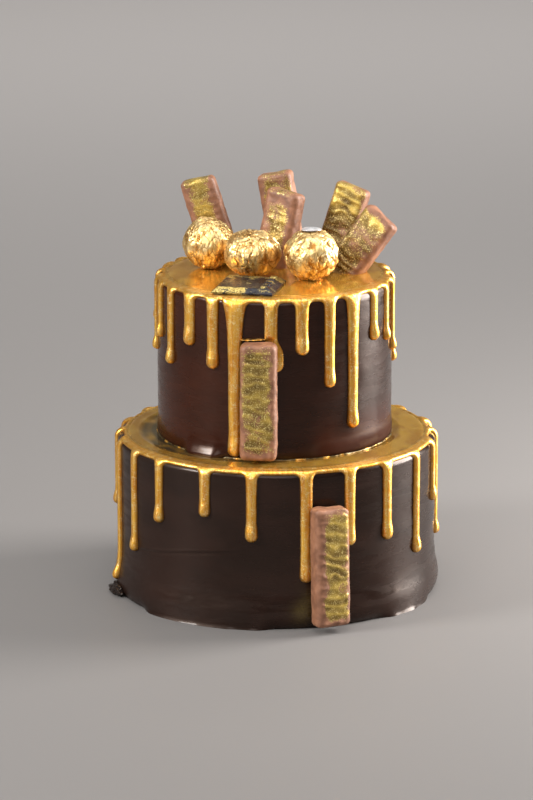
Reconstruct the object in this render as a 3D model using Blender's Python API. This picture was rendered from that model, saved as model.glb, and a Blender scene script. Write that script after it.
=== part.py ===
"""Two-tier drip cake with chocolate bars, foil balls and a chocolate square.

Units are metres and +Z is up. The origin is at the centre of the lower tier's base.
The front of the cake faces -Y. Angles are in degrees, 0 at the front and growing towards +X.
"""
import math
from collections import namedtuple

import bmesh
import bpy
from mathutils import Matrix, Vector, noise

# Clearance that touching pieces keep, and the lift of the gold off the icing
GAP = 0.0003
LIFT = 0.00036

# Tiers: a round wall with a soft swelling near its foot, tucked in at the base, and a rounded top edge
Tier = namedtuple("Tier", "centre_x radius base_z top_z edge foot foot_z foot_spread tuck tuck_height sides")
LOWER = Tier(0.0, 0.1010, 0.0, 0.1003, 0.0040, 0.0026, 0.0085, 0.0105, 0.0014, 0.0050, 80)
UPPER = Tier(-0.0011, 0.0743, LOWER.top_z + GAP, 0.2030, 0.0036, 0.0005, 0.0040, 0.0060, 0.0022, 0.0030, 64)
LOWER_RINGS = (0.0, 0.0025, 0.0060, 0.0110, 0.0170, 0.0240, 0.0350)
UPPER_RINGS = (0.0, 0.0011, 0.0032, 0.0080, 0.0160)
EDGE_STEPS = 4

# Torn lump of chocolate at the foot of the lower tier, on the left
CRAG_ANGLE = -76.0
CRAG_SIZE = Vector((0.0100, 0.0050, 0.0036))
CRAG_REACH = 0.0030
CRAG_ROUGHNESS = 0.35

# Gold skin
POOL_THICKNESS = 0.0014
POOL_EDGE_THICKNESS = 0.0008
RIM_THICKNESS = 0.0021
ROOT_THICKNESS = 0.0024
DRIP_THICKNESS = 0.0030
BEAD_THICKNESS = 0.0042
ARCH_DEPTH = 0.0034
ARCH_LIP = 0.0017
FILLET = 0.0032
FULL_WIDTH = 0.0080
TAPER_LENGTH = 0.014
LONG_DRIP = 0.045
PRESSED_ROWS = (0.0165, 0.0200, 0.0240, 0.0275)
PRESSED_FROM = 0.0220
DRIFT_START = 0.52
DRIFT_END = 0.72
ACROSS = (-1.0, -0.6, 0.0, 0.6, 1.0)

# One drip: angle, height of its bottom, width of its bead, stem as a share of that, widening at
# its root, drift at its end, and the share of its thickness left where a bar presses on it
Drip = namedtuple("Drip", "angle bottom width neck root drift pressed", defaults=(1.15, 0.0, 1.0))
UPPER_FRONT = (
    Drip(-97.0, 0.1712, 0.0056, 0.72),
    Drip(-84.5, 0.1560, 0.0058, 0.74),
    Drip(-73.6, 0.1672, 0.0062, 0.80),
    Drip(-60.6, 0.1538, 0.0070, 0.84),
    Drip(-45.3, 0.1695, 0.0087, 0.94),
    Drip(-31.2, 0.1573, 0.0084, 0.90),
    Drip(-19.6, 0.1027, 0.0090, 0.92, 1.95),
    Drip(-1.8, 0.1578, 0.0088, 0.92, 1.10, 2.5, 0.36),
    Drip(13.0, 0.1680, 0.0087, 0.92),
    Drip(27.1, 0.1459, 0.0077, 0.92),
    Drip(40.7, 0.1175, 0.0080, 0.93, 1.60),
    Drip(55.8, 0.1703, 0.0074, 0.81),
    Drip(68.8, 0.1668, 0.0061, 0.73),
    Drip(81.5, 0.1565, 0.0057, 0.68),
    Drip(94.0, 0.1452, 0.0056, 0.68),
)
LOWER_FRONT = (
    Drip(-91.5, 0.0514, 0.0060, 0.78),
    Drip(-78.0, 0.0083, 0.0062, 0.80),
    Drip(-61.8, 0.0347, 0.0068, 0.86),
    Drip(-46.4, 0.0598, 0.0074, 0.83),
    Drip(-26.2, 0.0693, 0.0075, 0.92),
    Drip(-8.9, 0.0557, 0.0082, 0.82),
    Drip(10.4, 0.0295, 0.0081, 0.93),
    Drip(26.7, 0.0511, 0.0075, 0.92),
    Drip(42.8, 0.0502, 0.0078, 0.86),
    Drip(60.0, 0.0347, 0.0070, 0.80),
    Drip(77.0, 0.0610, 0.0063, 0.76),
    Drip(91.5, 0.0316, 0.0060, 0.76),
)
# The back carries drips of the same kind at an even spacing with seeded changes
UPPER_BACK_COUNT = 11
LOWER_BACK_COUNT = 10
BACK_DRIP_WIDTH = 0.0070
BACK_DRIP_NECK = 0.84
UPPER_BACK_BOTTOM = 0.1580
LOWER_BACK_BOTTOM = 0.0500
BACK_REACH_SPREAD = 0.0200
BACK_SEED = 4.7

# Chocolate bars
BAR_DEPTH = 0.0132
BAR_CORNER = 0.0030
BAR_END_INSET = 0.0016
BAR_PLANTED = 0.0150
POCKET_CLEARANCE = 0.00036

# Upright bars: foot on the gold, lean to the right and to the back, turn on its axis,
# height shown, width and slant of the top end
Upright = namedtuple("Upright", "name foot_x foot_y lean_right lean_back turn shown width end_slope")
UPRIGHT_BARS = (
    Upright("bar_top_left", -0.0341, 0.0340, -17.7, 3.0, -6.0, 0.0548, 0.0229, -0.05),
    Upright("bar_top_back", 0.0076, 0.0440, -9.1, 3.0, -14.0, 0.0547, 0.0228, 0.04),
    Upright("bar_top_centre", -0.0020, 0.0170, 10.4, 4.0, -34.0, 0.0486, 0.0246, -0.04),
    Upright("bar_top_right_back", 0.0345, 0.0268, 17.2, 3.0, -20.0, 0.0513, 0.0226, -0.06),
    Upright("bar_top_right_front", 0.0418, 0.0005, 36.1, 2.0, -28.0, 0.0442, 0.0242, -0.08),
)

# Bars stuck upright to the walls: foot of the back face, facing angle, lean to the wall
Stuck = namedtuple("Stuck", "name x y facing lean foot_z width length end_slope")
STUCK_BARS = (
    Stuck("bar_on_upper_tier", -0.0105, -0.0762, -6.0, 0.6, 0.1043, 0.0231, 0.0735, 0.02),
    Stuck("bar_on_lower_tier", 0.0307, -0.1002, 26.0, 2.0, 0.0040, 0.0236, 0.0750, -0.05),
)

# Foil balls: slightly flattened, with a small flat foot
Ball = namedtuple("Ball", "name x y radius half_height")
BALLS = (
    Ball("foil_ball_left", -0.0430, 0.0102, 0.0169, 0.0166),
    Ball("foil_ball_centre", -0.0157, -0.0118, 0.0182, 0.0154),
    Ball("foil_ball_right", 0.0218, -0.0215, 0.0177, 0.0166),
)
BALL_FLAT = 0.0011
BALL_SIDES = 20
BALL_RINGS = 9
BALL_DENTS = 0.045
STICKER_LENGTH = 0.0126
STICKER_WIDTH = 0.0106
STICKER_THICKNESS = 0.00035

# Chocolate square with bevelled sides and a field of small raised blocks
SQUARE_X = -0.0173
SQUARE_Y = -0.0461
SQUARE_TURN = -12.5
SQUARE_WIDTH = 0.0388
SQUARE_LENGTH = 0.0395
SQUARE_HEIGHT = 0.0036
SQUARE_BEVEL = 0.0034
SQUARE_LIP = 0.0010
BLOCK_COUNT = 5
BLOCK_FIELD = 0.0062
BLOCK_MARGIN = 0.0006
BLOCK_HEIGHT = 0.0007

POOL_TOP_Z = UPPER.top_z + LIFT + POOL_THICKNESS
REST_Z = POOL_TOP_Z + GAP


def clear_scene():
    """Remove whatever the scene holds at the start."""
    for item in list(bpy.data.objects):
        bpy.data.objects.remove(item, do_unlink=True)


def make_material(name, colour, roughness, metallic=0.0, coat=0.0):
    """Principled material with one colour."""
    material = bpy.data.materials.new(name)
    material.use_nodes = True
    shader = material.node_tree.nodes["Principled BSDF"]
    shader.inputs["Base Color"].default_value = (*colour, 1.0)
    shader.inputs["Roughness"].default_value = roughness
    shader.inputs["Metallic"].default_value = metallic
    shader.inputs["Coat Weight"].default_value = coat
    return material


def add_object(name, mesh, material, smooth_angle=50.0):
    """Link a mesh as a named object with its material, shaded smooth up to an angle."""
    item = bpy.data.objects.new(name, mesh)
    bpy.context.scene.collection.objects.link(item)
    if material:
        mesh.materials.append(material)
    mesh.shade_smooth()
    mesh.set_sharp_from_angle(angle=math.radians(smooth_angle))
    return item


def mesh_from(name, points, faces):
    """Mesh with all its faces turned outwards."""
    mesh = bpy.data.meshes.new(name)
    mesh.from_pydata([tuple(point) for point in points], [], faces)
    shape = bmesh.new()
    shape.from_mesh(mesh)
    bmesh.ops.recalc_face_normals(shape, faces=shape.faces)
    shape.to_mesh(mesh)
    shape.free()
    return mesh


def on_circle(centre_x, angle, radius, z):
    """Point at an angle in degrees on a circle about a tier's axis."""
    turn = math.radians(angle)
    return Vector((centre_x + radius * math.sin(turn), -radius * math.cos(turn), z))


def wall_radius(tier, z):
    """Radius of a tier's wall at a height, with the swelling near the foot and the tuck under it."""
    away = (z - tier.base_z - tier.foot_z) / tier.foot_spread
    low = max(0.0, 1.0 - (z - tier.base_z) / tier.tuck_height)
    return tier.radius + tier.foot * math.exp(-away * away) - tier.tuck * low * low


def edge_length(tier):
    """Length of the quarter circle at a tier's top edge."""
    return 0.5 * math.pi * tier.edge


def icing_point(tier, angle, along, lift):
    """Point above the icing, measured along its outline from where the top starts to round.

    Negative distances lie on the flat top, then comes the rounded edge and then the wall.
    """
    flat_radius = tier.radius - tier.edge
    if along <= 0.0:
        return on_circle(tier.centre_x, angle, flat_radius + along, tier.top_z + lift)
    if along < edge_length(tier):
        turn = along / tier.edge
        reach = tier.edge + lift
        radius = flat_radius + reach * math.sin(turn)
        return on_circle(tier.centre_x, angle, radius, tier.top_z - tier.edge + reach * math.cos(turn))
    z = tier.top_z - tier.edge - (along - edge_length(tier))
    return on_circle(tier.centre_x, angle, wall_radius(tier, z) + lift, z)


def along_at(tier, z):
    """Distance along the outline at which the wall reaches a height."""
    return edge_length(tier) + tier.top_z - tier.edge - z


def turned_solid(name, tier, rings):
    """Tier as a turned solid: rings up the wall, the rounded edge and flat ends."""
    outline = [(wall_radius(tier, tier.base_z + z), tier.base_z + z) for z in rings]
    for step in range(EDGE_STEPS + 1):
        turn = 0.5 * math.pi * step / EDGE_STEPS
        radius = tier.radius - tier.edge * (1.0 - math.cos(turn))
        outline.append((radius, tier.top_z - tier.edge * (1.0 - math.sin(turn))))
    points = []
    for radius, z in outline:
        points += [on_circle(tier.centre_x, 360.0 * k / tier.sides, radius, z) for k in range(tier.sides)]
    faces = []
    for row in range(len(outline) - 1):
        for k in range(tier.sides):
            after = (k + 1) % tier.sides
            low = row * tier.sides
            high = low + tier.sides
            faces.append((low + k, low + after, high + after, high + k))
    faces.append(tuple(range(tier.sides)))
    faces.append(tuple(range(len(points) - tier.sides, len(points))))
    return mesh_from(name, points, faces)


def crag_mesh():
    """Lumpy ball that stands for the torn chocolate at the foot."""
    shape = bmesh.new()
    bmesh.ops.create_icosphere(shape, subdivisions=2, radius=1.0)
    for vertex in shape.verts:
        bump = noise.noise(vertex.co * 1.9 + Vector((3.1, 0.4, 7.7)))
        vertex.co *= 1.0 + CRAG_ROUGHNESS * bump
    mesh = bpy.data.meshes.new("crag")
    shape.to_mesh(mesh)
    shape.free()
    place = on_circle(LOWER.centre_x, CRAG_ANGLE, LOWER.radius + CRAG_REACH, 0.8 * CRAG_SIZE.z)
    turn = Matrix.Rotation(math.radians(CRAG_ANGLE), 4, "Z")
    scale = Matrix.Diagonal((*CRAG_SIZE, 1.0))
    mesh.transform(Matrix.Translation(place) @ turn @ scale)
    for vertex in mesh.vertices:
        vertex.co.z = max(vertex.co.z, 0.0)
    return mesh


def apply_boolean(item, operation, tools):
    """Combine an object with all the tools at once and remove the tools."""
    group = bpy.data.collections.new(item.name + "_tools")
    bpy.context.scene.collection.children.link(group)
    for tool in tools:
        bpy.context.scene.collection.objects.unlink(tool)
        group.objects.link(tool)
        tool.hide_render = True
        tool.display_type = "WIRE"
    change = item.modifiers.new("combine", "BOOLEAN")
    change.operation = operation
    change.solver = "EXACT"
    change.operand_type = "COLLECTION"
    change.collection = group
    with bpy.context.temp_override(object=item, active_object=item, selected_objects=[item]):
        bpy.ops.object.modifier_apply(modifier=change.name)
    for tool in tools:
        bpy.data.objects.remove(tool, do_unlink=True)
    bpy.data.collections.remove(group)


def add_lower_tier(material):
    """Lower tier with the torn lump fused to its foot."""
    item = add_object("lower_tier", turned_solid("lower_tier", LOWER, LOWER_RINGS), material)
    crag = add_object("crag", crag_mesh(), None)
    apply_boolean(item, "UNION", [crag])
    item.data.set_sharp_from_angle(angle=math.radians(50.0))
    return item


def wave(position):
    """Repeatable value between -1 and 1 that changes from one drip to the next."""
    return max(-1.0, min(1.0, 2.0 * noise.noise(Vector((position * 1.37, BACK_SEED, 0.3)))))


def back_drips(front, count, bottom):
    """Drips that fill the space behind the front ones."""
    first = front[-1].angle
    gap = 360.0 - (front[-1].angle - front[0].angle)
    step = gap / (count + 1)
    drips = []
    for k in range(1, count + 1):
        angle = first + step * (k + 0.16 * wave(k + 20.0))
        end = bottom + BACK_REACH_SPREAD * wave(k + 3.5)
        width = BACK_DRIP_WIDTH * (1.0 + 0.16 * wave(k + 50.0))
        drips.append(Drip(angle, end, width, BACK_DRIP_NECK))
    return drips


def stem_half(drip, down):
    """Half width of a drip's stem at a distance below its root."""
    stem = 0.5 * drip.neck * drip.width
    return stem * (1.0 + (drip.root - 1.0) * math.exp(-down / TAPER_LENGTH))


def drip_rows(tier, drip):
    """Rows of a drip from root to bead: distance along, half width, share of fillet, thickness, bluntness."""
    end = along_at(tier, drip.bottom)
    bead = 0.5 * drip.width
    thick = DRIP_THICKNESS * min(1.0, 0.45 + 0.55 * drip.neck * drip.width / FULL_WIDTH)
    full = BEAD_THICKNESS * min(1.0, 0.5 + 0.5 * drip.width / FULL_WIDTH)
    rows = [
        (ARCH_DEPTH, stem_half(drip, 0.0), 1.0, ROOT_THICKNESS, 3.5),
        (ARCH_DEPTH + 0.35 * FILLET, stem_half(drip, 0.35 * FILLET), 0.24, ROOT_THICKNESS, 3.0),
        (ARCH_DEPTH + FILLET, stem_half(drip, FILLET), 0.0, 0.9 * thick, 2.4),
    ]
    below = [0.011]
    if drip.pressed < 1.0:
        below += PRESSED_ROWS
    elif end - ARCH_DEPTH > LONG_DRIP:
        below.append(0.030)
    for down in below:
        rows.append((ARCH_DEPTH + down, stem_half(drip, down), 0.0, thick, 2.0))
    rows += [
        (end - 3.4 * bead, drip.neck * bead, 0.0, thick, 2.0),
        (end - 1.6 * bead, 0.98 * bead, 0.0, 0.92 * full, 2.0),
        (end - 0.8 * bead, 0.97 * bead, 0.0, full, 2.0),
        (end - 0.25 * bead, 0.66 * bead, 0.0, 0.66 * full, 2.0),
    ]
    if drip.pressed < 1.0:
        start = ARCH_DEPTH + PRESSED_FROM
        rows = [(*row[:3], row[3] * (drip.pressed if row[0] > start else 1.0), row[4]) for row in rows]
    return rows, end


def gaps_between(tier, drips):
    """For each drip, the middle of the bare gap on its left and the fillet that fits there."""
    borders = []
    fillets = []
    for i, drip in enumerate(drips):
        before = drips[i - 1]
        before_angle = before.angle - (360.0 if i == 0 else 0.0)
        low = before_angle + math.degrees(stem_half(before, 0.0) / tier.radius)
        high = drip.angle - math.degrees(stem_half(drip, 0.0) / tier.radius)
        borders.append(0.5 * (low + high))
        fillets.append(min(FILLET, 0.42 * math.radians(high - low) * tier.radius))
    return borders, fillets


def drip_angle(tier, drip, along, end):
    """Angle of a drip's middle, which may slip sideways half way down."""
    part = (along - ARCH_DEPTH) / (end - ARCH_DEPTH)
    part = max(0.0, min(1.0, (part - DRIFT_START) / (DRIFT_END - DRIFT_START)))
    return drip.angle + drip.drift * part * part * (3.0 - 2.0 * part)


def zip_rows(faces, first, second):
    """Fill the strip between two rows of (place, vertex) pairs with triangles."""
    i = 0
    j = 0
    while i < len(first) - 1 or j < len(second) - 1:
        take_first = j == len(second) - 1
        if not take_first and i < len(first) - 1:
            take_first = first[i][0] + first[i + 1][0] <= second[j][0] + second[j + 1][0]
        if take_first:
            faces.append((first[i][1], first[i + 1][1], second[j][1]))
            i += 1
        else:
            faces.append((first[i][1], second[j + 1][1], second[j][1]))
            j += 1


def closed_row(row):
    """Row that comes back to its first vertex after a full turn."""
    return row + [(row[0][0] + 360.0, row[0][1])]


def gold_skin(name, tier, drips, pool_rows, centre_fan):
    """Poured gold: a pool on top that runs over the edge and down into drips.

    Outer and inner faces share the vertices along the skin's lower edge, so it closes there.
    pool_rows gives, from the middle outwards, a function of the angle for each row's outer and
    inner point. centre_fan closes the middle of the pool; without it the pool's inner edge is
    a small upright wall.
    """
    points = []
    faces = []

    def add(point):
        points.append(point)
        return len(points) - 1

    borders, fillets = gaps_between(tier, drips)
    outer_rows = []
    inner_rows = []
    for outer_point, inner_point in pool_rows:
        outer = []
        inner = []
        for i, drip in enumerate(drips):
            after = borders[i + 1] if i + 1 < len(drips) else borders[0] + 360.0
            side = 0.38 * min(drip.angle - borders[i], after - drip.angle)
            for angle in (borders[i], drip.angle - side, drip.angle + side):
                outer.append((angle, add(outer_point(angle))))
            if inner_point:
                for angle in (borders[i], drip.angle):
                    inner.append((angle, add(inner_point(angle))))
        outer_rows.append(closed_row(outer))
        if inner:
            inner_rows.append(closed_row(inner))

    rim_outer = []
    rim_inner = []
    for i, drip in enumerate(drips):
        rows, end = drip_rows(tier, drip)
        border = (borders[i], add(icing_point(tier, borders[i], ARCH_DEPTH, LIFT)))
        rim_outer.append(border)
        rim_inner.append(border)
        outer_above = None
        inner_above = None
        fillet_after = fillets[(i + 1) % len(drips)]
        for along, half, share, thickness, blunt in rows:
            middle = drip_angle(tier, drip, along, end)
            outer = []
            for side in ACROSS:
                fillet = fillets[i] if side < 0.0 else fillet_after
                rise = thickness * (1.0 - abs(side) ** blunt) ** (1.0 / blunt)
                place = middle + side * math.degrees((half + share * fillet) / tier.radius)
                outer.append((side, place, add(icing_point(tier, place, along, LIFT + rise))))
            inner_middle = add(icing_point(tier, middle, along, LIFT))
            inner = [(-1.0, outer[0][2]), (0.0, inner_middle), (1.0, outer[-1][2])]
            if outer_above is None:
                rim = [(place, vertex) for side, place, vertex in outer]
                rim_outer += rim
                rim_inner += [rim[0], (middle, inner_middle), rim[-1]]
            outer = [(side, vertex) for side, place, vertex in outer]
            if outer_above:
                zip_rows(faces, outer_above, outer)
                zip_rows(faces, inner_above, inner)
            outer_above = outer
            inner_above = inner
        tip = add(icing_point(tier, drip_angle(tier, drip, end, end), end, LIFT))
        zip_rows(faces, outer_above, [(0.0, tip)])
        zip_rows(faces, inner_above, [(0.0, tip)])
    outer_rows.append(closed_row(rim_outer))
    inner_rows.append(closed_row(rim_inner))

    for rows in (outer_rows, inner_rows):
        for k in range(len(rows) - 1):
            zip_rows(faces, rows[k], rows[k + 1])
    if centre_fan:
        for rows, height in ((outer_rows, LIFT + POOL_THICKNESS), (inner_rows, LIFT)):
            middle = add(Vector((tier.centre_x, 0.0, tier.top_z + height)))
            zip_rows(faces, rows[0], [(0.0, middle)])
    else:
        zip_rows(faces, outer_rows[0], inner_rows[0])
    return mesh_from(name, points, faces)


def edge_pool_rows(tier):
    """Pool rows at the rounded edge: where it starts and just above the arches."""
    lip = ARCH_DEPTH - ARCH_LIP

    def start(lift):
        return lambda angle: icing_point(tier, angle, 0.0, lift)

    def above(lift):
        return lambda angle: icing_point(tier, angle, lip, lift)

    return [
        (start(LIFT + POOL_THICKNESS), start(LIFT)),
        (above(LIFT + RIM_THICKNESS), above(LIFT)),
    ]


def add_upper_gold(material):
    """Gold over the upper tier, with a full pool on top."""
    drips = list(UPPER_FRONT) + back_drips(UPPER_FRONT, UPPER_BACK_COUNT, UPPER_BACK_BOTTOM)
    mesh = gold_skin("upper_gold_drip", UPPER, drips, edge_pool_rows(UPPER), True)
    return add_object("upper_gold_drip", mesh, material)


def add_lower_gold(material):
    """Gold over the lower tier, a ring round the foot of the upper tier."""
    hole = wall_radius(UPPER, LOWER.top_z + LIFT + POOL_EDGE_THICKNESS) + GAP
    flat = LOWER.radius - LOWER.edge

    def ring(part, lift):
        def point(angle):
            inside = on_circle(UPPER.centre_x, angle, hole, LOWER.top_z + lift)
            outside = on_circle(LOWER.centre_x, angle, flat, LOWER.top_z + lift)
            return inside.lerp(outside, part)
        return point

    rows = [
        (ring(0.0, LIFT + POOL_EDGE_THICKNESS), ring(0.0, LIFT)),
        (ring(0.3, LIFT + POOL_THICKNESS), None),
    ]
    drips = list(LOWER_FRONT) + back_drips(LOWER_FRONT, LOWER_BACK_COUNT, LOWER_BACK_BOTTOM)
    mesh = gold_skin("lower_gold_drip", LOWER, drips, rows + edge_pool_rows(LOWER), False)
    return add_object("lower_gold_drip", mesh, material)


def rounded_ring(half_width, half_depth, corner, z_at):
    """Ring of points round a rectangle with rounded corners."""
    ring = []
    for quarter in range(4):
        turn = 0.5 * math.pi * quarter
        side_x = 1.0 if quarter in (0, 3) else -1.0
        side_y = 1.0 if quarter in (0, 1) else -1.0
        for step in range(3):
            angle = turn + 0.25 * math.pi * step
            x = side_x * (half_width - corner) + corner * math.cos(angle)
            y = side_y * (half_depth - corner) + corner * math.sin(angle)
            ring.append(Vector((x, y, z_at(x))))
    return ring


def bar_mesh(name, width, length, grow, end_slope):
    """Bar with rounded edges, standing on z = 0, its top end slanted a little across its width."""
    levels = (
        (-grow, BAR_END_INSET),
        (0.4 * BAR_END_INSET - grow, 0.4 * BAR_END_INSET),
        (1.3 * BAR_END_INSET, 0.0),
        (0.5 * length, 0.0),
        (length - 1.3 * BAR_END_INSET, 0.0),
        (length - 0.4 * BAR_END_INSET + grow, 0.4 * BAR_END_INSET),
        (length + grow, BAR_END_INSET),
    )
    points = []
    for z, inset in levels:
        slope = end_slope * max(0.0, 2.0 * z / length - 1.0)
        half_width = 0.5 * width + grow - inset
        half_depth = 0.5 * BAR_DEPTH + grow - inset
        corner = BAR_CORNER + grow - 0.6 * inset
        points += rounded_ring(half_width, half_depth, corner, lambda x: z + slope * x)
    size = len(points) // len(levels)
    faces = [tuple(range(size)), tuple(range(len(points) - size, len(points)))]
    for row in range(len(levels) - 1):
        for k in range(size):
            after = (k + 1) % size
            low = row * size
            faces.append((low + k, low + after, low + size + after, low + size + k))
    return mesh_from(name, points, faces)


def upright_place(bar):
    """Placement of an upright bar whose lower end is planted in the tier."""
    foot = Matrix.Translation((bar.foot_x, bar.foot_y, POOL_TOP_Z))
    lean_right = Matrix.Rotation(math.radians(bar.lean_right), 4, "Y")
    lean_back = Matrix.Rotation(math.radians(-bar.lean_back), 4, "X")
    turn = Matrix.Rotation(math.radians(bar.turn), 4, "Z")
    down = Matrix.Translation((0.0, 0.0, -BAR_PLANTED))
    return foot @ lean_right @ lean_back @ turn @ down


def add_upright_bars(material, planted_in):
    """Upright bars and the pockets that they leave in what they are planted in."""
    for holder in planted_in:
        pockets = []
        for bar in UPRIGHT_BARS:
            mesh = bar_mesh("pocket", bar.width, bar.shown + BAR_PLANTED, POCKET_CLEARANCE, 0.0)
            pocket = add_object("pocket", mesh, None)
            pocket.matrix_world = upright_place(bar)
            pockets.append(pocket)
        bpy.context.view_layer.update()
        apply_boolean(holder, "DIFFERENCE", pockets)
        holder.data.set_sharp_from_angle(angle=math.radians(50.0))
    for bar in UPRIGHT_BARS:
        mesh = bar_mesh(bar.name, bar.width, bar.shown + BAR_PLANTED, 0.0, bar.end_slope)
        item = add_object(bar.name, mesh, material)
        item.matrix_world = upright_place(bar)


def add_stuck_bars(material):
    """Bars that stand against the walls."""
    for bar in STUCK_BARS:
        mesh = bar_mesh(bar.name, bar.width, bar.length, 0.0, bar.end_slope)
        item = add_object(bar.name, mesh, material)
        foot = Matrix.Translation((bar.x, bar.y, bar.foot_z))
        turn = Matrix.Rotation(math.radians(bar.facing), 4, "Z")
        lean = Matrix.Rotation(math.radians(-bar.lean), 4, "X")
        out = Matrix.Translation((0.0, -0.5 * BAR_DEPTH, 0.0))
        item.matrix_world = foot @ turn @ lean @ out


def ball_shrink(ball, direction):
    """Dents of the foil: how far a direction's radius falls short of the full one."""
    where = direction * 2.6 + Vector((ball.x, ball.y, 0.0)) * 90.0
    return 1.0 - BALL_DENTS * (0.5 + 0.5 * noise.noise(where))


def add_balls(material):
    """Foil balls with shallow dents, each standing on a small flat."""
    for ball in BALLS:
        start = math.acos(1.0 - BALL_FLAT / ball.half_height)
        points = []
        for row in range(BALL_RINGS + 1):
            polar = start + (math.pi - start) * row / (BALL_RINGS + 1)
            for k in range(BALL_SIDES):
                turn = 2.0 * math.pi * k / BALL_SIDES
                x = math.sin(polar) * math.cos(turn)
                y = math.sin(polar) * math.sin(turn)
                direction = Vector((x, y, -math.cos(polar)))
                shrink = ball_shrink(ball, direction) if row else 1.0
                z = ball.half_height * (shrink * direction.z + 1.0) - BALL_FLAT
                points.append(Vector((ball.radius * shrink * x, ball.radius * shrink * y, z)))
        points.append(Vector((0.0, 0.0, 2.0 * ball.half_height * 0.99 - BALL_FLAT)))
        faces = [tuple(range(BALL_SIDES))]
        for row in range(BALL_RINGS):
            for k in range(BALL_SIDES):
                after = (k + 1) % BALL_SIDES
                low = row * BALL_SIDES
                high = low + BALL_SIDES
                faces.append((low + k, low + after, high + after, high + k))
        last = BALL_RINGS * BALL_SIDES
        for k in range(BALL_SIDES):
            faces.append((last + k, last + (k + 1) % BALL_SIDES, len(points) - 1))
        item = add_object(ball.name, mesh_from(ball.name, points, faces), material, 80.0)
        item.location = (ball.x, ball.y, REST_Z)


def add_sticker(material):
    """Blank oval sticker that follows the top of the right ball."""
    ball = BALLS[-1]
    sides = 20
    points = []
    for lift in (GAP, GAP + STICKER_THICKNESS):
        for part in (1.0, 0.5):
            for k in range(sides):
                turn = 2.0 * math.pi * k / sides
                x = 0.5 * STICKER_LENGTH * part * math.cos(turn)
                y = 0.5 * STICKER_WIDTH * part * math.sin(turn)
                rest = max(0.0, 1.0 - (x * x + y * y) / ball.radius ** 2)
                z = ball.half_height * (1.0 + math.sqrt(rest)) - BALL_FLAT + lift
                points.append(Vector((x, y, z)))
        points.append(Vector((0.0, 0.0, 2.0 * ball.half_height - BALL_FLAT + lift)))
    layer = 2 * sides + 1
    faces = []
    for base in (0, layer):
        for k in range(sides):
            after = (k + 1) % sides
            faces.append((base + k, base + after, base + sides + after, base + sides + k))
            faces.append((base + sides + k, base + sides + after, base + 2 * sides))
    for k in range(sides):
        after = (k + 1) % sides
        faces.append((k, after, layer + after, layer + k))
    item = add_object("ball_sticker", mesh_from("ball_sticker", points, faces), material)
    item.location = (ball.x, ball.y, REST_Z)


def split_top(shape, place, normal, left_limit):
    """Cut the flat top of the square along an upright plane, right of a limit."""
    top = [face for face in shape.faces if face.calc_center_median().z > SQUARE_HEIGHT - GAP]
    top = [face for face in top if face.calc_center_median().x > left_limit]
    edges = {edge for face in top for edge in face.edges}
    corners = {vertex for face in top for vertex in face.verts}
    bmesh.ops.bisect_plane(shape, geom=[*top, *edges, *corners], plane_co=place, plane_no=normal)


def add_square(material):
    """Flat chocolate square: upright lip, bevelled sides and a row of raised blocks on the right."""
    shape = bmesh.new()
    rows = []
    for z, inset in ((0.0, 0.0), (SQUARE_LIP, 0.0), (SQUARE_HEIGHT, SQUARE_BEVEL)):
        x = 0.5 * SQUARE_WIDTH - inset
        y = 0.5 * SQUARE_LENGTH - inset
        rows.append([shape.verts.new((cx, cy, z)) for cx, cy in ((-x, -y), (x, -y), (x, y), (-x, y))])
    shape.faces.new(rows[0])
    shape.faces.new(rows[-1])
    for low, high in zip(rows, rows[1:]):
        for k in range(4):
            after = (k + 1) % 4
            shape.faces.new((low[k], low[after], high[after], high[k]))
    bmesh.ops.recalc_face_normals(shape, faces=shape.faces)
    field_left = 0.5 * SQUARE_WIDTH - SQUARE_BEVEL - BLOCK_FIELD
    split_top(shape, (field_left, 0.0, 0.0), (1.0, 0.0, 0.0), -SQUARE_WIDTH)
    rear = 0.5 * SQUARE_LENGTH - SQUARE_BEVEL
    for k in range(1, BLOCK_COUNT):
        y = rear * (2.0 * k / BLOCK_COUNT - 1.0)
        split_top(shape, (0.0, y, 0.0), (0.0, 1.0, 0.0), field_left)
    top = [face for face in shape.faces if face.calc_center_median().z > SQUARE_HEIGHT - GAP]
    blocks = [face for face in top if face.calc_center_median().x > field_left]
    bmesh.ops.inset_individual(shape, faces=blocks, thickness=BLOCK_MARGIN, depth=BLOCK_HEIGHT)
    mesh = bpy.data.meshes.new("chocolate_square")
    shape.to_mesh(mesh)
    shape.free()
    item = add_object("chocolate_square", mesh, material, 25.0)
    item.location = (SQUARE_X, SQUARE_Y, REST_Z)
    item.rotation_euler = (0.0, 0.0, math.radians(SQUARE_TURN))


def main():
    """Build the whole cake."""
    clear_scene()
    coating = make_material("dark_icing", (0.022, 0.012, 0.010), 0.30, coat=0.3)
    gold = make_material("gold_icing", (0.52, 0.30, 0.08), 0.32, metallic=0.75)
    bar_chocolate = make_material("bar_chocolate", (0.20, 0.095, 0.070), 0.55)
    foil = make_material("gold_foil", (0.83, 0.58, 0.22), 0.22, metallic=1.0)
    paper = make_material("sticker_paper", (0.75, 0.75, 0.76), 0.40)
    square_chocolate = make_material("square_chocolate", (0.030, 0.022, 0.026), 0.40)
    add_lower_tier(coating)
    upper = add_object("upper_tier", turned_solid("upper_tier", UPPER, UPPER_RINGS), coating)
    add_lower_gold(gold)
    upper_gold = add_upper_gold(gold)
    add_upright_bars(bar_chocolate, (upper, upper_gold))
    add_stuck_bars(bar_chocolate)
    add_balls(foil)
    add_sticker(paper)
    add_square(square_chocolate)


main()
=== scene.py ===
"""Looks of the two-tier drip cake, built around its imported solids.

Units are metres and +Z is up. The front of the cake faces -Y. Angles are in degrees, 0 at the
front and growing towards +X, as in the part's source, whose sizes are repeated here.
"""

import math
from collections import namedtuple

import bmesh
import bpy
import numpy as np
from mathutils import Matrix, Vector, noise


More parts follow.
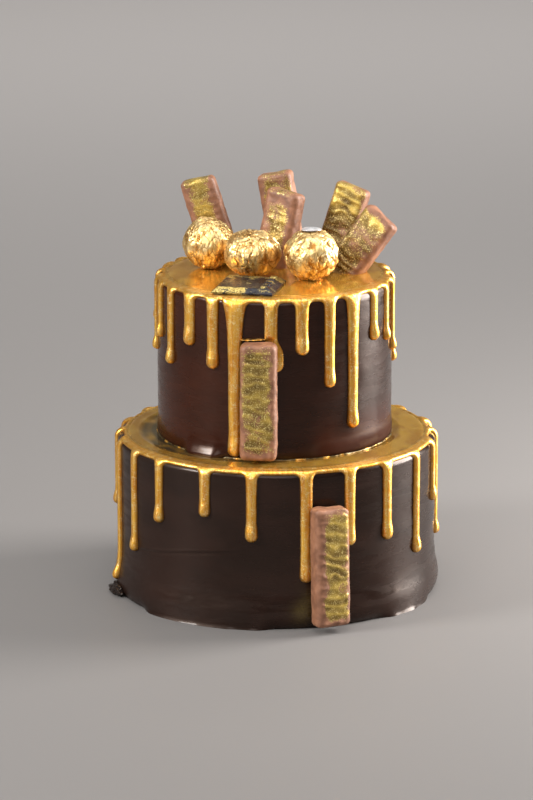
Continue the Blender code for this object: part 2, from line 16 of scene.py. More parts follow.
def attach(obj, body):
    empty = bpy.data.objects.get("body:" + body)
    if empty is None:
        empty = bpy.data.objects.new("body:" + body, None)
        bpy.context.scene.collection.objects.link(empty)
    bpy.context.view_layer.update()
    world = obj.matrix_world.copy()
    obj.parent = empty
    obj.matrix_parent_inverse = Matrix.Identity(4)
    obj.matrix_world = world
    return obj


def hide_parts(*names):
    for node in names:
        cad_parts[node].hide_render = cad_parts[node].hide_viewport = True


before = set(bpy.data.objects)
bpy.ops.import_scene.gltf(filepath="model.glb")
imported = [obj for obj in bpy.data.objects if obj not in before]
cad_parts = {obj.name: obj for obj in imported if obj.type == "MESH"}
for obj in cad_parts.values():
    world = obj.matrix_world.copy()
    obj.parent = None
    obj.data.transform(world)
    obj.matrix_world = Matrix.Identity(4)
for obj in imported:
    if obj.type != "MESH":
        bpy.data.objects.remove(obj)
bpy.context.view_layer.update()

# Repeatable noise
LATTICE_STEPS = (73856093, 19349663, 83492791)
SEED_STEP = 40503
MIXING_STEP = 1274126177

# Camera, room and studio lights
CAMERA_PLACE = (-0.006328, -2.77103, 0.846868)
CAMERA_PITCH = 0.2563
CAMERA_LENS = 202.5
ROOM_HALF = 4.0
BACKDROP_Y = 3.3
BACKDROP_TOP = 3.0
FLOOR_Z = -0.0001
CAKE_MIDDLE = (0.0, 0.0, 0.12)
WHITE = (1.0, 0.98, 0.96)
Light = namedtuple("Light", "name place target width height power colour spread")
LIGHTS = (
    Light("panel_right", (0.79, 0.16, 0.36), CAKE_MIDDLE, 0.42, 0.70, 23.5, (1.0, 0.96, 0.92), 180.0),
    Light("key_left", (-1.30, -0.62, 0.86), CAKE_MIDDLE, 0.43, 0.43, 26.0, (1.0, 0.98, 0.95), 180.0),
    Light("top_soft", (0.0, -0.3, 1.9), CAKE_MIDDLE, 1.5, 1.5, 24.0, WHITE, 180.0),
    Light("back_soft", (0.1, 2.1, 1.9), (0.1, 2.1001, 0.0), 2.8, 1.2, 41.0, WHITE, 100.0),
    Light("front_fill", (-0.3, -2.2, 1.5), CAKE_MIDDLE, 1.8, 1.6, 24.0, WHITE, 180.0),
)

# Tiers, and the lips of glaze that curl outwards at their feet
Tier = namedtuple("Tier", "centre_x radius base_z top_z edge foot foot_z foot_spread tuck tuck_height")
LOWER = Tier(0.0, 0.1010, 0.0, 0.1003, 0.0040, 0.0026, 0.0085, 0.0105, 0.0014, 0.0050)
UPPER = Tier(-0.0011, 0.0743, 0.1006, 0.2030, 0.0036, 0.0005, 0.0040, 0.0060, 0.0022, 0.0030)
TIER_COLUMNS = 440
WALL_STEP = 0.0009
RELIEF_FADE = 0.006
CAP_PARTS = np.array((0.92, 0.75, 0.45, 0.15))
Lip = namedtuple("Lip", "reach height first last")
LOWER_LIPS = (Lip(0.0046, 0.0034, -48.0, -8.0), Lip(0.0042, 0.0030, 46.0, 64.0))
UPPER_LIPS = (Lip(0.0052, 0.0058, -42.0, -31.0), Lip(0.0008, 0.0016, -85.0, 20.0))

# Torn lump at the foot of the lower tier
CRAG_ANGLE = -76.0
CRAG_SIZE = np.array((0.0100, 0.0050, 0.0036))
CRAG_REACH = 0.0030
CRAG_ROWS = 44
CRAG_COLUMNS = 72

# Gold skin
SINK = 0.00015
POOL_LIFT = 0.00036
POOL_THICKNESS = 0.0014
POOL_THIN = 0.0006
POOL_ROWS = 26
POOL_GAP = 0.0008
POOL_FADE_START = 0.0006
POOL_FADE = 0.0042
DEEP_INSIDE = 0.01
UPPER_POOL_CENTRE = 0.0015
RIM_THICKNESS = 0.0023
DRIP_THICKNESS = 0.0031
BEAD_THICKNESS = 0.0043
RIM_ROUND = 0.0026
ARCH_DEPTH = 0.0034
ARCH_SPREAD = 0.0006
NOTCH_DEPTH = 0.0003
NOTCH_ANGLE = 84.0
FILLET = 0.0032
FILLET_SHARE = 0.42
FULL_WIDTH = 0.0080
TAPER_LENGTH = 0.014
DRIFT_START = 0.52
DRIFT_END = 0.72
PRESSED_FROM = 0.0200
PRESSED_TO = 0.0240
DRIP_ROW_STEP = 0.0011
EDGE_ROWS = (0.0, 0.00004, 0.00016, 0.00036, 0.00064, 0.001, 0.00145, 0.002, 0.0026)
ROOT_COLUMNS = 17
FLAT_COLUMNS = 5
SECTOR_COLUMNS = 2 * FLAT_COLUMNS - 1 + ROOT_COLUMNS
ROOT_SIDES = -np.cos(np.linspace(0.0, math.pi, ROOT_COLUMNS))
SWAY = 0.00022
WIDTH_SPREAD = 0.035

# One drip: angle, height of its bottom, width of its bead, stem as a share of that, widening at
# its root, drift at its end, and the share of its thickness left where a bar presses on it
Drip = namedtuple("Drip", "angle bottom width neck root drift pressed", defaults=(1.15, 0.0, 1.0))
UPPER_FRONT = (
    Drip(-97.0, 0.1712, 0.0056, 0.72),
    Drip(-84.5, 0.1560, 0.0058, 0.74),
    Drip(-73.6, 0.1672, 0.0062, 0.80),
    Drip(-60.6, 0.1538, 0.0070, 0.84),
    Drip(-45.3, 0.1695, 0.0087, 0.94),
    Drip(-31.2, 0.1573, 0.0084, 0.90),
    Drip(-19.6, 0.1027, 0.0090, 0.92, 1.95),
    Drip(-1.8, 0.1578, 0.0088, 0.92, 1.10, 2.5, 0.36),
    Drip(13.0, 0.1680, 0.0087, 0.92),
    Drip(27.1, 0.1459, 0.0077, 0.92),
    Drip(40.7, 0.1175, 0.0080, 0.93, 1.60),
    Drip(55.8, 0.1703, 0.0074, 0.81),
    Drip(68.8, 0.1668, 0.0061, 0.73),
    Drip(81.5, 0.1565, 0.0057, 0.68),
    Drip(94.0, 0.1452, 0.0056, 0.68),
)
LOWER_FRONT = (
    Drip(-91.5, 0.0514, 0.0060, 0.78),
    Drip(-78.0, 0.0083, 0.0062, 0.80),
    Drip(-61.8, 0.0347, 0.0068, 0.86),
    Drip(-46.4, 0.0598, 0.0074, 0.83),
    Drip(-26.2, 0.0693, 0.0075, 0.92),
    Drip(-8.9, 0.0557, 0.0082, 0.82),
    Drip(10.4, 0.0295, 0.0081, 0.93),
    Drip(26.7, 0.0511, 0.0075, 0.92),
    Drip(42.8, 0.0502, 0.0078, 0.86),
    Drip(60.0, 0.0347, 0.0070, 0.80),
    Drip(77.0, 0.0610, 0.0063, 0.76),
    Drip(91.5, 0.0316, 0.0060, 0.76),
)

# Drips behind, as seeded in the part's source: how many, and the height at which they end
UPPER_BACK = (11, 0.1580)
LOWER_BACK = (10, 0.0500)
BACK_WIDTH = 0.0070
BACK_NECK = 0.84
BACK_SPREAD = 0.16
BACK_END_SPREAD = 0.0200

# Trails of gold at the upper tier's joint and on its wall
JOINT_COLUMNS = 520
SMEAR_COLUMNS = 60
SMEAR_ANGLES = (-16.6, -4.2)
SMEAR_Z = 0.1783
TUBE_SIDES = 12

# Chocolate bars
BAR_DEPTH = 0.0132
BAR_CORNER = 0.0042
BAR_END_ROUND = 0.0030
BAR_PLANTED = 0.0150
BAR_CAP_PARTS = (0.1, 0.35, 0.7)
POOL_TOP_Z = UPPER.top_z + POOL_LIFT + POOL_THICKNESS
BAR_COLUMNS = 96
BAR_ROW_STEP = 0.0006
RIPPLE_HEIGHT = 0.00032
RIPPLE_PITCH = 0.0056
Upright = namedtuple("Upright", "name foot_x foot_y lean_right lean_back turn shown width end_slope")
UPRIGHT_BARS = (
    Upright("bar_top_left", -0.0341, 0.0340, -17.7, 3.0, -6.0, 0.0548, 0.0229, -0.05),
    Upright("bar_top_back", 0.0076, 0.0440, -9.1, 3.0, -14.0, 0.0547, 0.0228, 0.04),
    Upright("bar_top_centre", -0.0020, 0.0170, 10.4, 4.0, -34.0, 0.0486, 0.0246, -0.04),
    Upright("bar_top_right_back", 0.0345, 0.0268, 17.2, 3.0, -20.0, 0.0513, 0.0226, -0.06),
    Upright("bar_top_right_front", 0.0418, 0.0005, 36.1, 2.0, -28.0, 0.0442, 0.0242, -0.08),
)
Stuck = namedtuple("Stuck", "name x y facing lean foot_z width length end_slope")
STUCK_BARS = (
    Stuck("bar_on_upper_tier", -0.0105, -0.0762, -6.0, 0.6, 0.1043, 0.0231, 0.0735, 0.02),
    Stuck("bar_on_lower_tier", 0.0307, -0.1002, 26.0, 2.0, 0.0040, 0.0236, 0.0750, -0.05),
)

# Gold dust on each bar's broad faces: its middle and half width as shares of the half width, how
# strong the cross ripples are there, the share of the height below which it lies in painted shade,
# the shares of the height between which it lies, how strong it is on the top edge, and how thick it lies
Dust = namedtuple("Dust", "middle half_width rippled dull_below low high edge thick")
DUST = {
    "bar_top_left": Dust(-0.04, 0.60, 0.35, 0.0, 0.0, 1.06, 0.9, 0.82),
    "bar_top_back": Dust(0.08, 0.84, 0.4, 0.0, 0.0, 1.06, 0.6, 0.82),
    "bar_top_centre": Dust(-0.04, 0.66, 0.22, 0.0, 0.34, 0.96, 0.7, 0.82),
    "bar_top_right_back": Dust(-0.08, 0.94, 1.1, 0.72, 0.0, 1.10, 0.0, 1.0),
    "bar_top_right_front": Dust(-0.30, 0.98, 1.0, 0.86, 0.0, 1.02, 0.0, 1.0),
    "bar_on_upper_tier": Dust(0.04, 0.84, 0.8, 0.0, 0.0, 1.06, 0.0, 0.82),
    "bar_on_lower_tier": Dust(0.24, 0.68, 1.3, 0.0, 0.0, 1.06, 0.0, 1.0),
}

# Foil balls, and the sticker as rings: a share of its size, and a lift as a share of its thickness
Ball = namedtuple("Ball", "name x y radius half_height")
BALLS = (
    Ball("foil_ball_left", -0.0430, 0.0102, 0.0169, 0.0166),
    Ball("foil_ball_centre", -0.0157, -0.0118, 0.0182, 0.0154),
    Ball("foil_ball_right", 0.0218, -0.0215, 0.0177, 0.0166),
)
REST_GAP = 0.0003
BALL_REST_Z = POOL_TOP_Z + REST_GAP
BALL_FLAT = 0.0011
BALL_SHARE = 0.972
PLEATS = 11.0
BALL_ROWS = 230
BALL_COLUMNS = 360
CREASE_UPRIGHT = 0.50
CREASE_SOFT = 0.022
FACET_SIZES = ((64, 0.26), (190, 0.95), (600, 2.30), (1700, 3.60))
FACET_JITTER = 1.0
POINTS_AT_ONCE = 4096
STICKER_LENGTH = 0.0126
STICKER_WIDTH = 0.0106
STICKER_THICKNESS = 0.00035
STICKER_LIFT = 0.0003
STICKER_SIDES = 64
STICKER_RINGS = (
    (0.25, 0.0), (0.6, 0.0), (1.0, 0.0), (1.0, 1.0), (0.97, 1.25), (0.8, 1.3), (0.5, 1.3), (0.2, 1.3),
)

# Chocolate square
SQUARE_X = -0.0173
SQUARE_Y = -0.0461
SQUARE_TURN = -12.5
SQUARE_WIDTH = 0.0388
SQUARE_LENGTH = 0.0395
SQUARE_HEIGHT = 0.0036
SQUARE_BEVEL = 0.0034
SQUARE_LIP = 0.0010
BLOCK_COUNT = 5
BLOCK_FIELD = 0.0062
BLOCK_HEIGHT = 0.0011
SQUARE_CELLS = 150

# Materials by name, kept as they are made. The slots of the pieces have the same names
FINISHES = {}


def joined(*blocks):
    """Blocks of rows, one after another."""
    return np.concatenate(blocks)


def vectors(*parts):
    """Vectors from their parts, which are spread to one shape first."""
    return np.stack(np.broadcast_arrays(*parts), -1)


def lattice_values(corners, seed):
    """Repeatable values from -1 to 1 for points of a whole-number lattice."""
    x, y, z = np.moveaxis(corners, -1, 0)
    x, y, z = x * LATTICE_STEPS[0], y * LATTICE_STEPS[1], z * LATTICE_STEPS[2]
    mixed = x ^ y ^ z ^ (seed * SEED_STEP)
    mixed = (mixed ^ (mixed >> 13)) * MIXING_STEP
    mixed = mixed ^ (mixed >> 16)
    return (mixed & 0xFFFF) / 32767.5 - 1.0


def soft_noise(points, size, seed):
    """Smooth noise from -1 to 1: lattice values a size apart, blended with soft steps."""
    scaled = np.asarray(points, float) / size
    base = np.floor(scaled)
    part = ease(scaled - base)
    base = base.astype(np.int64)
    total = np.zeros(scaled.shape[:-1])
    for corner in np.ndindex(2, 2, 2):
        weight = np.where(corner, part, 1.0 - part)
        weight = weight[..., 0] * weight[..., 1] * weight[..., 2]
        total += weight * lattice_values(base + np.array(corner), seed)
    return total


def line_noise(position, size, seed):
    """Smooth noise along one line."""
    return soft_noise(vectors(position, 0.37 * size, 0.61 * size), size, seed)


def ease(value):
    """Rises from 0 to 1 with level ends as value goes from 0 to 1."""
    value = np.clip(value, 0.0, 1.0)
    return value * value * (3.0 - 2.0 * value)


def on_circle(centre_x, angle, radius, z):
    """Points at angles in degrees on circles about a tier's axis."""
    turn = np.radians(angle)
    return vectors(centre_x + radius * np.sin(turn), -radius * np.cos(turn), z)


def wall_radius(tier, z):
    """Radius of a tier's wall: swelling near the foot as a bell curve, and the tuck under it."""
    away = (z - tier.base_z - tier.foot_z) / tier.foot_spread
    low = np.clip(1.0 - (z - tier.base_z) / tier.tuck_height, 0.0, None)
    return tier.radius + tier.foot * np.exp(-away * away) - tier.tuck * low * low


def icing_point(tier, angle, along, lift):
    """Points above the icing: flat top before distance 0, then a quarter circle, then the wall."""
    bend = 0.5 * math.pi * tier.edge
    turn = np.clip(along, 0.0, bend) / tier.edge
    radius = tier.radius - tier.edge + np.minimum(along, 0.0) + (tier.edge + lift) * np.sin(turn)
    z = tier.top_z - tier.edge + (tier.edge + lift) * np.cos(turn)
    wall_z = tier.top_z - tier.edge - (along - bend)
    on_wall = along > bend
    radius = np.where(on_wall, wall_radius(tier, wall_z) + lift, radius)
    return on_circle(tier.centre_x, angle, radius, np.where(on_wall, wall_z, z))


def ball_directions(rows, columns):
    """Directions from a ball's middle, in rings from the top down, with both poles last."""
    polar = np.linspace(0.0, math.pi, rows + 2)[1:-1, None]
    turn = np.arange(columns) * 2.0 * math.pi / columns
    level = np.sin(polar)
    rings = vectors(level * np.cos(turn), level * np.sin(turn), np.cos(polar))
    return joined(rings.reshape(-1, 3), [(0, 0, 1), (0, 0, -1)])


def grid_quads(ids, around=False):
    """Quads between neighbours of a grid of point numbers, which may close round."""
    if around:
        ids = np.concatenate([ids, ids[:, :1]], 1)
    return vectors(ids[:-1, :-1], ids[:-1, 1:], ids[1:, 1:], ids[1:, :-1]).reshape(-1, 4)


def fan_triangles(ring, centre):
    """Triangles from a closed ring of points to one centre point."""
    return vectors(ring, np.roll(ring, -1), centre)


def capped_faces(rows, columns):
    """Faces of closed rings of points that end in a fan to one more point at either end."""
    size = rows * columns
    ids = np.arange(size).reshape(rows, columns)
    fans = [fan_triangles(ids[0], size), fan_triangles(ids[-1], size + 1)]
    return [grid_quads(ids, True), np.concatenate(fans)]


def placed(points, matrix):
    """Points moved and turned by a placement."""
    matrix = np.array(matrix)
    return points @ matrix[:3, :3].T + matrix[:3, 3]


def turn_matrix(angle, axis):
    """Rotation by an angle in degrees about an axis."""
    return Matrix.Rotation(math.radians(angle), 4, axis)


def add_piece(name, points, face_sets, slot, nodes=(), values=None, smooth_angle=60.0):
    """Closed surface as a piece of the cake that stands for CAD nodes, with values at its points.

    All its faces are turned outwards.
    """
    mesh = bpy.data.meshes.new(name)
    corners = np.concatenate([faces.ravel() for faces in face_sets]).astype(np.int32)
    counts = np.concatenate([np.full(len(faces), faces.shape[1]) for faces in face_sets])
    mesh.vertices.add(len(points))
    mesh.vertices.foreach_set("co", np.asarray(points, np.float32).ravel())
    mesh.loops.add(len(corners))
    mesh.loops.foreach_set("vertex_index", corners)
    mesh.polygons.add(len(counts))
    mesh.polygons.foreach_set("loop_start", (np.cumsum(counts) - counts).astype(np.int32))
    mesh.update(calc_edges=True)
    shape = bmesh.new()
    shape.from_mesh(mesh)
    bmesh.ops.recalc_face_normals(shape, faces=shape.faces)
    shape.to_mesh(mesh)
    shape.free()
    for label, kept in (values or {}).items():
        kept = np.asarray(kept, np.float32)
        kind, field = ("FLOAT_VECTOR", "vector") if kept.ndim == 2 else ("FLOAT", "value")
        mesh.attributes.new(label, kind, "POINT").data.foreach_set(field, kept.ravel())
    mesh.materials.append(FINISHES[slot])
    mesh.shade_smooth()
    mesh.set_sharp_from_angle(angle=math.radians(smooth_angle))
    item = bpy.data.objects.new(name, mesh)
    bpy.context.scene.collection.objects.link(item)
    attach(item, "root")
    if nodes:
        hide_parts(*nodes)


class Paint:
    """Nodes of one material or group. Colours are given to it without their alpha."""

    def __init__(self, tree):
        self.tree = tree

    def fill(self, node, inputs):
        """Set or link a node's inputs by name or number, and give back its outputs."""
        for name, value in inputs.items():
            socket = node.inputs[name]
            if isinstance(value, bpy.types.NodeSocket):
                self.tree.links.new(value, socket)
            else:
                socket.default_value = (*value, 1.0) if socket.type == "RGBA" else value
        return node.outputs

    def add(self, kind, inputs, **settings):
        """Add a node with its settings and inputs, and give back its outputs."""
        node = self.tree.nodes.new(kind)
        for name, value in settings.items():
            setattr(node, name, value)
        return self.fill(node, inputs)

    def use(self, group, inputs):
        """Outputs of a node group placed here with its own values."""
        return self.add("ShaderNodeGroup", inputs, node_tree=group)

    def mix(self, factor, first, second):
        """Colour between two others."""
        return self.add("ShaderNodeMix", {0: factor, 6: first, 7: second}, data_type="RGBA")[2]

    def math(self, operation, first, second):
        """Sum, product or other combination of two values."""
        return self.add("ShaderNodeMath", {0: first, 1: second}, operation=operation)[0]

    def blend(self, value, low, high, first, second):
        """Colour that goes from one to another as a value goes from low to high."""
        return self.mix(self.limit(value, low, high), first, second)

    def limit(self, value, low, high, start=0.0, end=1.0):
        """Value that goes smoothly from start to end as another goes from low to high."""
        inputs = {"Value": value, "From Min": low, "From Max": high, "To Min": start, "To Max": end}
        return self.add("ShaderNodeMapRange", inputs, interpolation_type="SMOOTHSTEP")[0]

    def grade(self, value, start, end):
        """Value that goes smoothly from start to end as another goes from 0 to 1."""
        return self.limit(value, 0.0, 1.0, start, end)

    def noise(self, vector, scale, detail=2.0, distortion=0.0):
        """Smooth noise between 0 and 1."""
        inputs = {"Vector": vector, "Scale": scale, "Detail": detail, "Distortion": distortion}
        return self.add("ShaderNodeTexNoise", inputs)[0]

    def place(self):
        """Coordinates on the piece, in metres."""
        return self.add("ShaderNodeTexCoord", {})["Object"]

    def stretched(self, vector, scale):
        """Coordinates stretched by a factor along each axis."""
        return self.add("ShaderNodeMapping", {"Vector": vector, "Scale": scale})[0]

    def stored(self, name, output="Fac"):
        """Value kept at the points of a piece."""
        return self.add("ShaderNodeAttribute", {}, attribute_name=name)[output]

    def split(self, vector):
        """The three parts of a vector."""
        return self.add("ShaderNodeSeparateXYZ", {"Vector": vector})

    def relief(self, group, vector, scale, grain_scale, grain_depth):
        """Height from the group for uneven surfaces."""
        inputs = {"Vector": vector, "Scale": scale, "Grain Scale": grain_scale, "Grain Depth": grain_depth}
        return self.use(group, inputs)["Height"]

    def bump(self, height, strength, distance):
        """Normal bent by a height."""
        return self.add("ShaderNodeBump", {"Height": height, "Strength": strength, "Distance": distance})[0]


def new_group(name, numbers, outputs):
    """New node group with a vector and named numbers going in, and named values coming out."""
    tree = bpy.data.node_groups.new(name, "ShaderNodeTree")
    tree.interface.new_socket("Vector", in_out="INPUT", socket_type="NodeSocketVector")
    for label, value in numbers.items():
        socket = tree.interface.new_socket(label, in_out="INPUT", socket_type="NodeSocketFloat")
        socket.default_value = value
    for label in outputs:
        tree.interface.new_socket(label, in_out="OUTPUT", socket_type="NodeSocketFloat")
    return Paint(tree), tree.nodes.new("NodeGroupInput").outputs, tree.nodes.new("NodeGroupOutput")


def pearl_group():
    """Fine bright specks of pearl powder: two sizes of grain multiplied together."""
    paint, given, leave = new_group("pearl_specks", {"Scale": 1200.0}, ["Specks"])
    fine = paint.noise(given["Vector"], given["Scale"], 1.0)
    coarse = paint.noise(given["Vector"], paint.math("MULTIPLY", given["Scale"], 0.22))
    specks = paint.math("MULTIPLY", paint.limit(fine, 0.42, 0.72), paint.limit(coarse, 0.3, 0.7))
    paint.fill(leave, {"Specks": specks})
    return paint.tree


def dusting_group():
    """Edible dust brushed on in patches: large soft patches broken up by fine grain."""
    numbers = {"Patch Scale": 90.0, "Grain Scale": 1300.0, "Cover": 0.5, "Bias": 0.0}
    paint, given, leave = new_group("brushed_dust", numbers, ["Mask", "Grain"])
    patches = paint.noise(given["Vector"], given["Patch Scale"], 4.0, 0.6)
    patches = paint.math("ADD", patches, given["Bias"])
    grain = paint.noise(given["Vector"], given["Grain Scale"])
    mixed = paint.math("ADD", patches, paint.math("MULTIPLY", grain, 0.95))
    level = paint.math("SUBTRACT", 1.47, given["Cover"])
    mask = paint.limit(paint.math("SUBTRACT", mixed, level), -0.16, 0.16)
    paint.fill(leave, {"Mask": mask, "Grain": grain})
    return paint.tree


def relief_group():
    """Uneven surface for a bump: a broad swell plus a finer grain of its own depth."""
    numbers = {"Scale": 60.0, "Grain Scale": 600.0, "Grain Depth": 0.2}
    paint, given, leave = new_group("surface_relief", numbers, ["Height"])
    swell = paint.noise(given["Vector"], given["Scale"])
    grain = paint.noise(given["Vector"], given["Grain Scale"], 3.0)
    height = paint.math("ADD", swell, paint.math("MULTIPLY", grain, given["Grain Depth"]))
    paint.fill(leave, {"Height": height})
    return paint.tree


def new_material(name):
    """New finish: its nodes and its shader."""
    material = bpy.data.materials.new(name)
    material.use_nodes = True
    FINISHES[name] = material
    paint = Paint(material.node_tree)
    return paint, paint.tree.nodes["Principled BSDF"]


def icing_material(relief):
    """Dark chocolate glaze: near black brown, glossy, with faint knife marks and cloudy spots.

    The tint attribute holds the warmth of the brown, where gold dust has fallen on it, and how
    much duller than elsewhere it is. On the upper tier the warmth also holds painted light on its
    left and a painted reflection of the gold pool at its right foot.
    """
    paint, shader = new_material("dark_icing")
    place = paint.place()
    warmth_and_painted_light, dusted, dull = paint.split(paint.stored("tint", "Vector"))
    cloud = paint.limit(paint.noise(paint.stretched(place, (1.0, 1.0, 2.2)), 22.0, 3.0, 0.4), 0.3, 0.7)
    cold = paint.mix(cloud, (0.0058, 0.0038, 0.0031), (0.0116, 0.0072, 0.0058))
    # Warm brown, on the upper tier also painted light at left and painted pool reflection at the right foot
    warm = paint.mix(cloud, (0.0190, 0.0046, 0.0016), (0.0330, 0.0075, 0.0026))
    dust = paint.math("MULTIPLY", dusted, paint.noise(place, 1400.0, 1.0))
    smear = paint.noise(paint.stretched(place, (1.0, 1.0, 5.0)), 45.0, 3.0, 0.5)
    height = paint.relief(relief, paint.stretched(place, (1.0, 1.0, 1.6)), 70.0, 900.0, 0.05)
    paint.fill(shader, {
        "Base Color": paint.mix(dust, paint.mix(warmth_and_painted_light, cold, warm), (0.46, 0.36, 0.10)),
        "Roughness": paint.math("ADD", paint.limit(smear, 0.30, 0.70, 0.18, 0.34), dull),
        "Specular IOR Level": paint.limit(dull, 0.15, 0.42, 0.26, 0.10),
        "Specular Tint": (1.0, 0.78, 0.66),
        "Coat Weight": paint.limit(dull, 0.15, 0.42, 0.15, 0.03),
        "Coat Roughness": 0.06,
        "Coat Tint": (1.0, 0.92, 0.86),
        "Normal": paint.bump(height, 0.35, 0.0006),
    })


def gold_material(pearl, relief):
    """Poured gold: darker orange painted as shade along its outlines, cream gold on the pearl specks.

    The flow attribute runs across the drips, down them and in from their outline.
    """
    paint, shader = new_material("gold_icing")
    place = paint.place()
    flow = paint.stored("flow", "Vector")
    pool = paint.stored("pool")
    streak = paint.noise(paint.stretched(flow, (1.0, 0.05, 0.0)), 650.0, 2.0, 0.2)
    swirl = paint.noise(paint.stretched(place, (1.0, 0.55, 1.0)), 70.0, 3.0, 1.2)
    running = paint.blend(streak, 0.26, 0.74, (0.69, 0.256, 0.018), (0.98, 0.560, 0.086))
    lying = paint.blend(swirl, 0.34, 0.66, (0.57, 0.264, 0.022), (0.80, 0.455, 0.062))
    specks = paint.use(pearl, {"Vector": place, "Scale": 1300.0})["Specks"]
    fleck = paint.math("MULTIPLY", specks, paint.grade(pool, 1.0, 0.35))
    # Painted shade: darker orange within a millimetre of the outline of drips and rim, off the pools
    edge = paint.limit(paint.split(flow)[2], 0.0, 0.0008, 0.70, 0.0)
    rim = paint.math("MULTIPLY", edge, paint.math("SUBTRACT", 1.0, pool))
    colour = paint.blend(pool, 0.02, 0.30, running, lying)
    colour = paint.mix(fleck, colour, (1.0, 0.82, 0.42))
    colour = paint.mix(rim, colour, (0.36, 0.135, 0.012))
    height = paint.relief(relief, place, 300.0, 1500.0, 0.6)
    paint.fill(shader, {
        "Base Color": paint.mix(paint.stored("thin"), colour, (0.082, 0.068, 0.040)),
        "Roughness": paint.math("ADD", paint.grade(pool, 0.36, 0.15), paint.math("MULTIPLY", specks, 0.10)),
        "Metallic": paint.grade(pool, 0.88, 0.68),
        "Specular Tint": (1.0, 0.86, 0.58),
        "Coat Weight": paint.grade(pool, 0.26, 0.22),
        "Coat Roughness": paint.grade(pool, 0.18, 0.07),
        "Normal": paint.bump(height, paint.grade(pool, 0.45, 0.08), 0.0003),
    })


def bar_material(dusting, relief):
    """Matt milk chocolate, pinkish where bare, with a cloudy patch of gold dust on broad faces."""
    paint, shader = new_material("bar_chocolate")
    local = paint.stored("local", "Vector")
    cloud = paint.limit(paint.noise(local, 160.0, 3.0, 0.5), 0.3, 0.7)
    chocolate = paint.mix(cloud, (0.175, 0.073, 0.037), (0.300, 0.134, 0.071))
    mask, grain = paint.use(dusting, {
        "Vector": local, "Patch Scale": 170.0, "Grain Scale": 1500.0, "Cover": 0.50,
        "Bias": paint.grade(paint.stored("dusted"), -0.44, 0.32),
    })
    # Dust colour by the crest value: thicker dust and painted highlight on crests, painted shade low down
    low = paint.mix(paint.stored("crest"), (0.085, 0.042, 0.008), (0.56, 0.385, 0.075))
    gold = paint.blend(grain, 0.50, 0.76, low, (0.80, 0.64, 0.26))
    paint.fill(shader, {
        "Base Color": paint.mix(mask, chocolate, gold),
        "Roughness": paint.grade(mask, 0.54, 0.42),
        "Metallic": paint.math("MULTIPLY", mask, 0.55),
        "Normal": paint.bump(paint.relief(relief, local, 420.0, 2000.0, 0.5), 0.50, 0.0004),
    })


def foil_material(relief):
    """Thin crumpled foil: pale gold, with painted shade of deeper orange gold in its creases."""
    paint, shader = new_material("gold_foil")
    place = paint.place()
    cloud = paint.noise(place, 260.0)
    pale = paint.blend(cloud, 0.35, 0.65, (0.86, 0.585, 0.22), (0.95, 0.73, 0.36))
    paint.fill(shader, {
        # Painted shade: deep orange in the creases and sunken places of the crumple
        "Base Color": paint.blend(paint.stored("crease_shade"), 0.20, 0.95, pale, (0.32, 0.14, 0.024)),
        "Metallic": 0.84,
        "Roughness": paint.limit(cloud, 0.3, 0.7, 0.34, 0.44),
        "Normal": paint.bump(paint.relief(relief, place, 420.0, 1100.0, 0.4), 0.20, 0.0004),
    })


def sticker_material():
    """Blank satin paper, a little greyer at its rim."""
    paint, shader = new_material("sticker_paper")
    place = paint.place()
    cloud = paint.noise(place, 300.0)
    paper = paint.blend(cloud, 0.3, 0.7, (0.42, 0.42, 0.43), (0.62, 0.62, 0.63))
    paint.fill(shader, {
        "Base Color": paint.blend(paint.stored("rim"), 0.80, 0.94, paper, (0.50, 0.47, 0.46)),
        "Roughness": 0.32,
        "Metallic": 0.25,
        "Normal": paint.bump(cloud, 0.2, 0.0002),
    })


def square_material(dusting, relief):
    """Very dark chocolate with a bluish bloom and gold dust caught in streaks and patches."""
    paint, shader = new_material("square_chocolate")
    local = paint.stored("local", "Vector")
    cloud = paint.limit(paint.noise(local, 180.0), 0.3, 0.7)
    chocolate = paint.mix(cloud, (0.006, 0.006, 0.009), (0.020, 0.017, 0.023))
    mask, grain = paint.use(dusting, {
        "Vector": paint.stretched(local, (0.55, 1.0, 1.0)), "Patch Scale": 420.0, "Grain Scale": 1900.0,
        "Cover": 0.50, "Bias": paint.grade(paint.stored("cover"), -0.34, 0.30),
    })
    gold = paint.blend(grain, 0.35, 0.65, (0.16, 0.10, 0.020), (0.66, 0.51, 0.17))
    paint.fill(shader, {
        "Base Color": paint.mix(mask, chocolate, gold),
        "Metallic": paint.math("MULTIPLY", mask, 0.7),
        "Roughness": paint.grade(mask, 0.24, 0.34),
        "Specular IOR Level": 0.28,
        "Normal": paint.bump(paint.relief(relief, local, 700.0, 2500.0, 0.4), 0.5, 0.0003),
    })


def plain_material(name, colour):
    """Plain matt surface of one colour."""
    paint, shader = new_material(name)
    paint.fill(shader, {"Base Color": colour, "Roughness": 0.6})


def wall_noise(angle, z, around, upwards, seed):
    """Noise on a wall, with its own number of cells in a radian around and in a metre upwards."""
    turn = np.radians(angle)
    points = vectors(around * np.sin(turn), around * np.cos(turn), upwards * z)
    return soft_noise(points, 1.0, seed)


def angle_window(angle, first, last, soft, soft_end=None):
    """Share that is 1 between two angles and fades out over a soft margin at either end."""
    centred = (angle + 180.0) % 360.0 - 180.0
    start = ease((centred - first) / soft + 1.0)
    return start * ease((last - centred) / (soft_end or soft) + 1.0)


def knife_marks(angle, z, depth, seed):
    """Soft knife marks: noise drawn out round the tier, a broad swell, and small dents."""
    bands = wall_noise(angle, z, 1.6, 110.0, seed)
    swell = wall_noise(angle, z, 2.4, 26.0, seed + 1)
    dents = wall_noise(angle, z, 16.0, 170.0, seed + 2)
    return depth * (0.35 * bands + 0.9 * swell + 0.10 * dents)


def foot_lips(angle, height, lips):
    """Glaze that curls outwards at a tier's foot: an exponential of the height, within windows."""
    ragged = 1.0 + 0.35 * line_noise(angle, 6.0, 15)
    return sum(
        lip.reach * ragged * np.exp(-height / lip.height) * angle_window(angle, lip.first, lip.last, 9.0)
        for lip in lips
    )


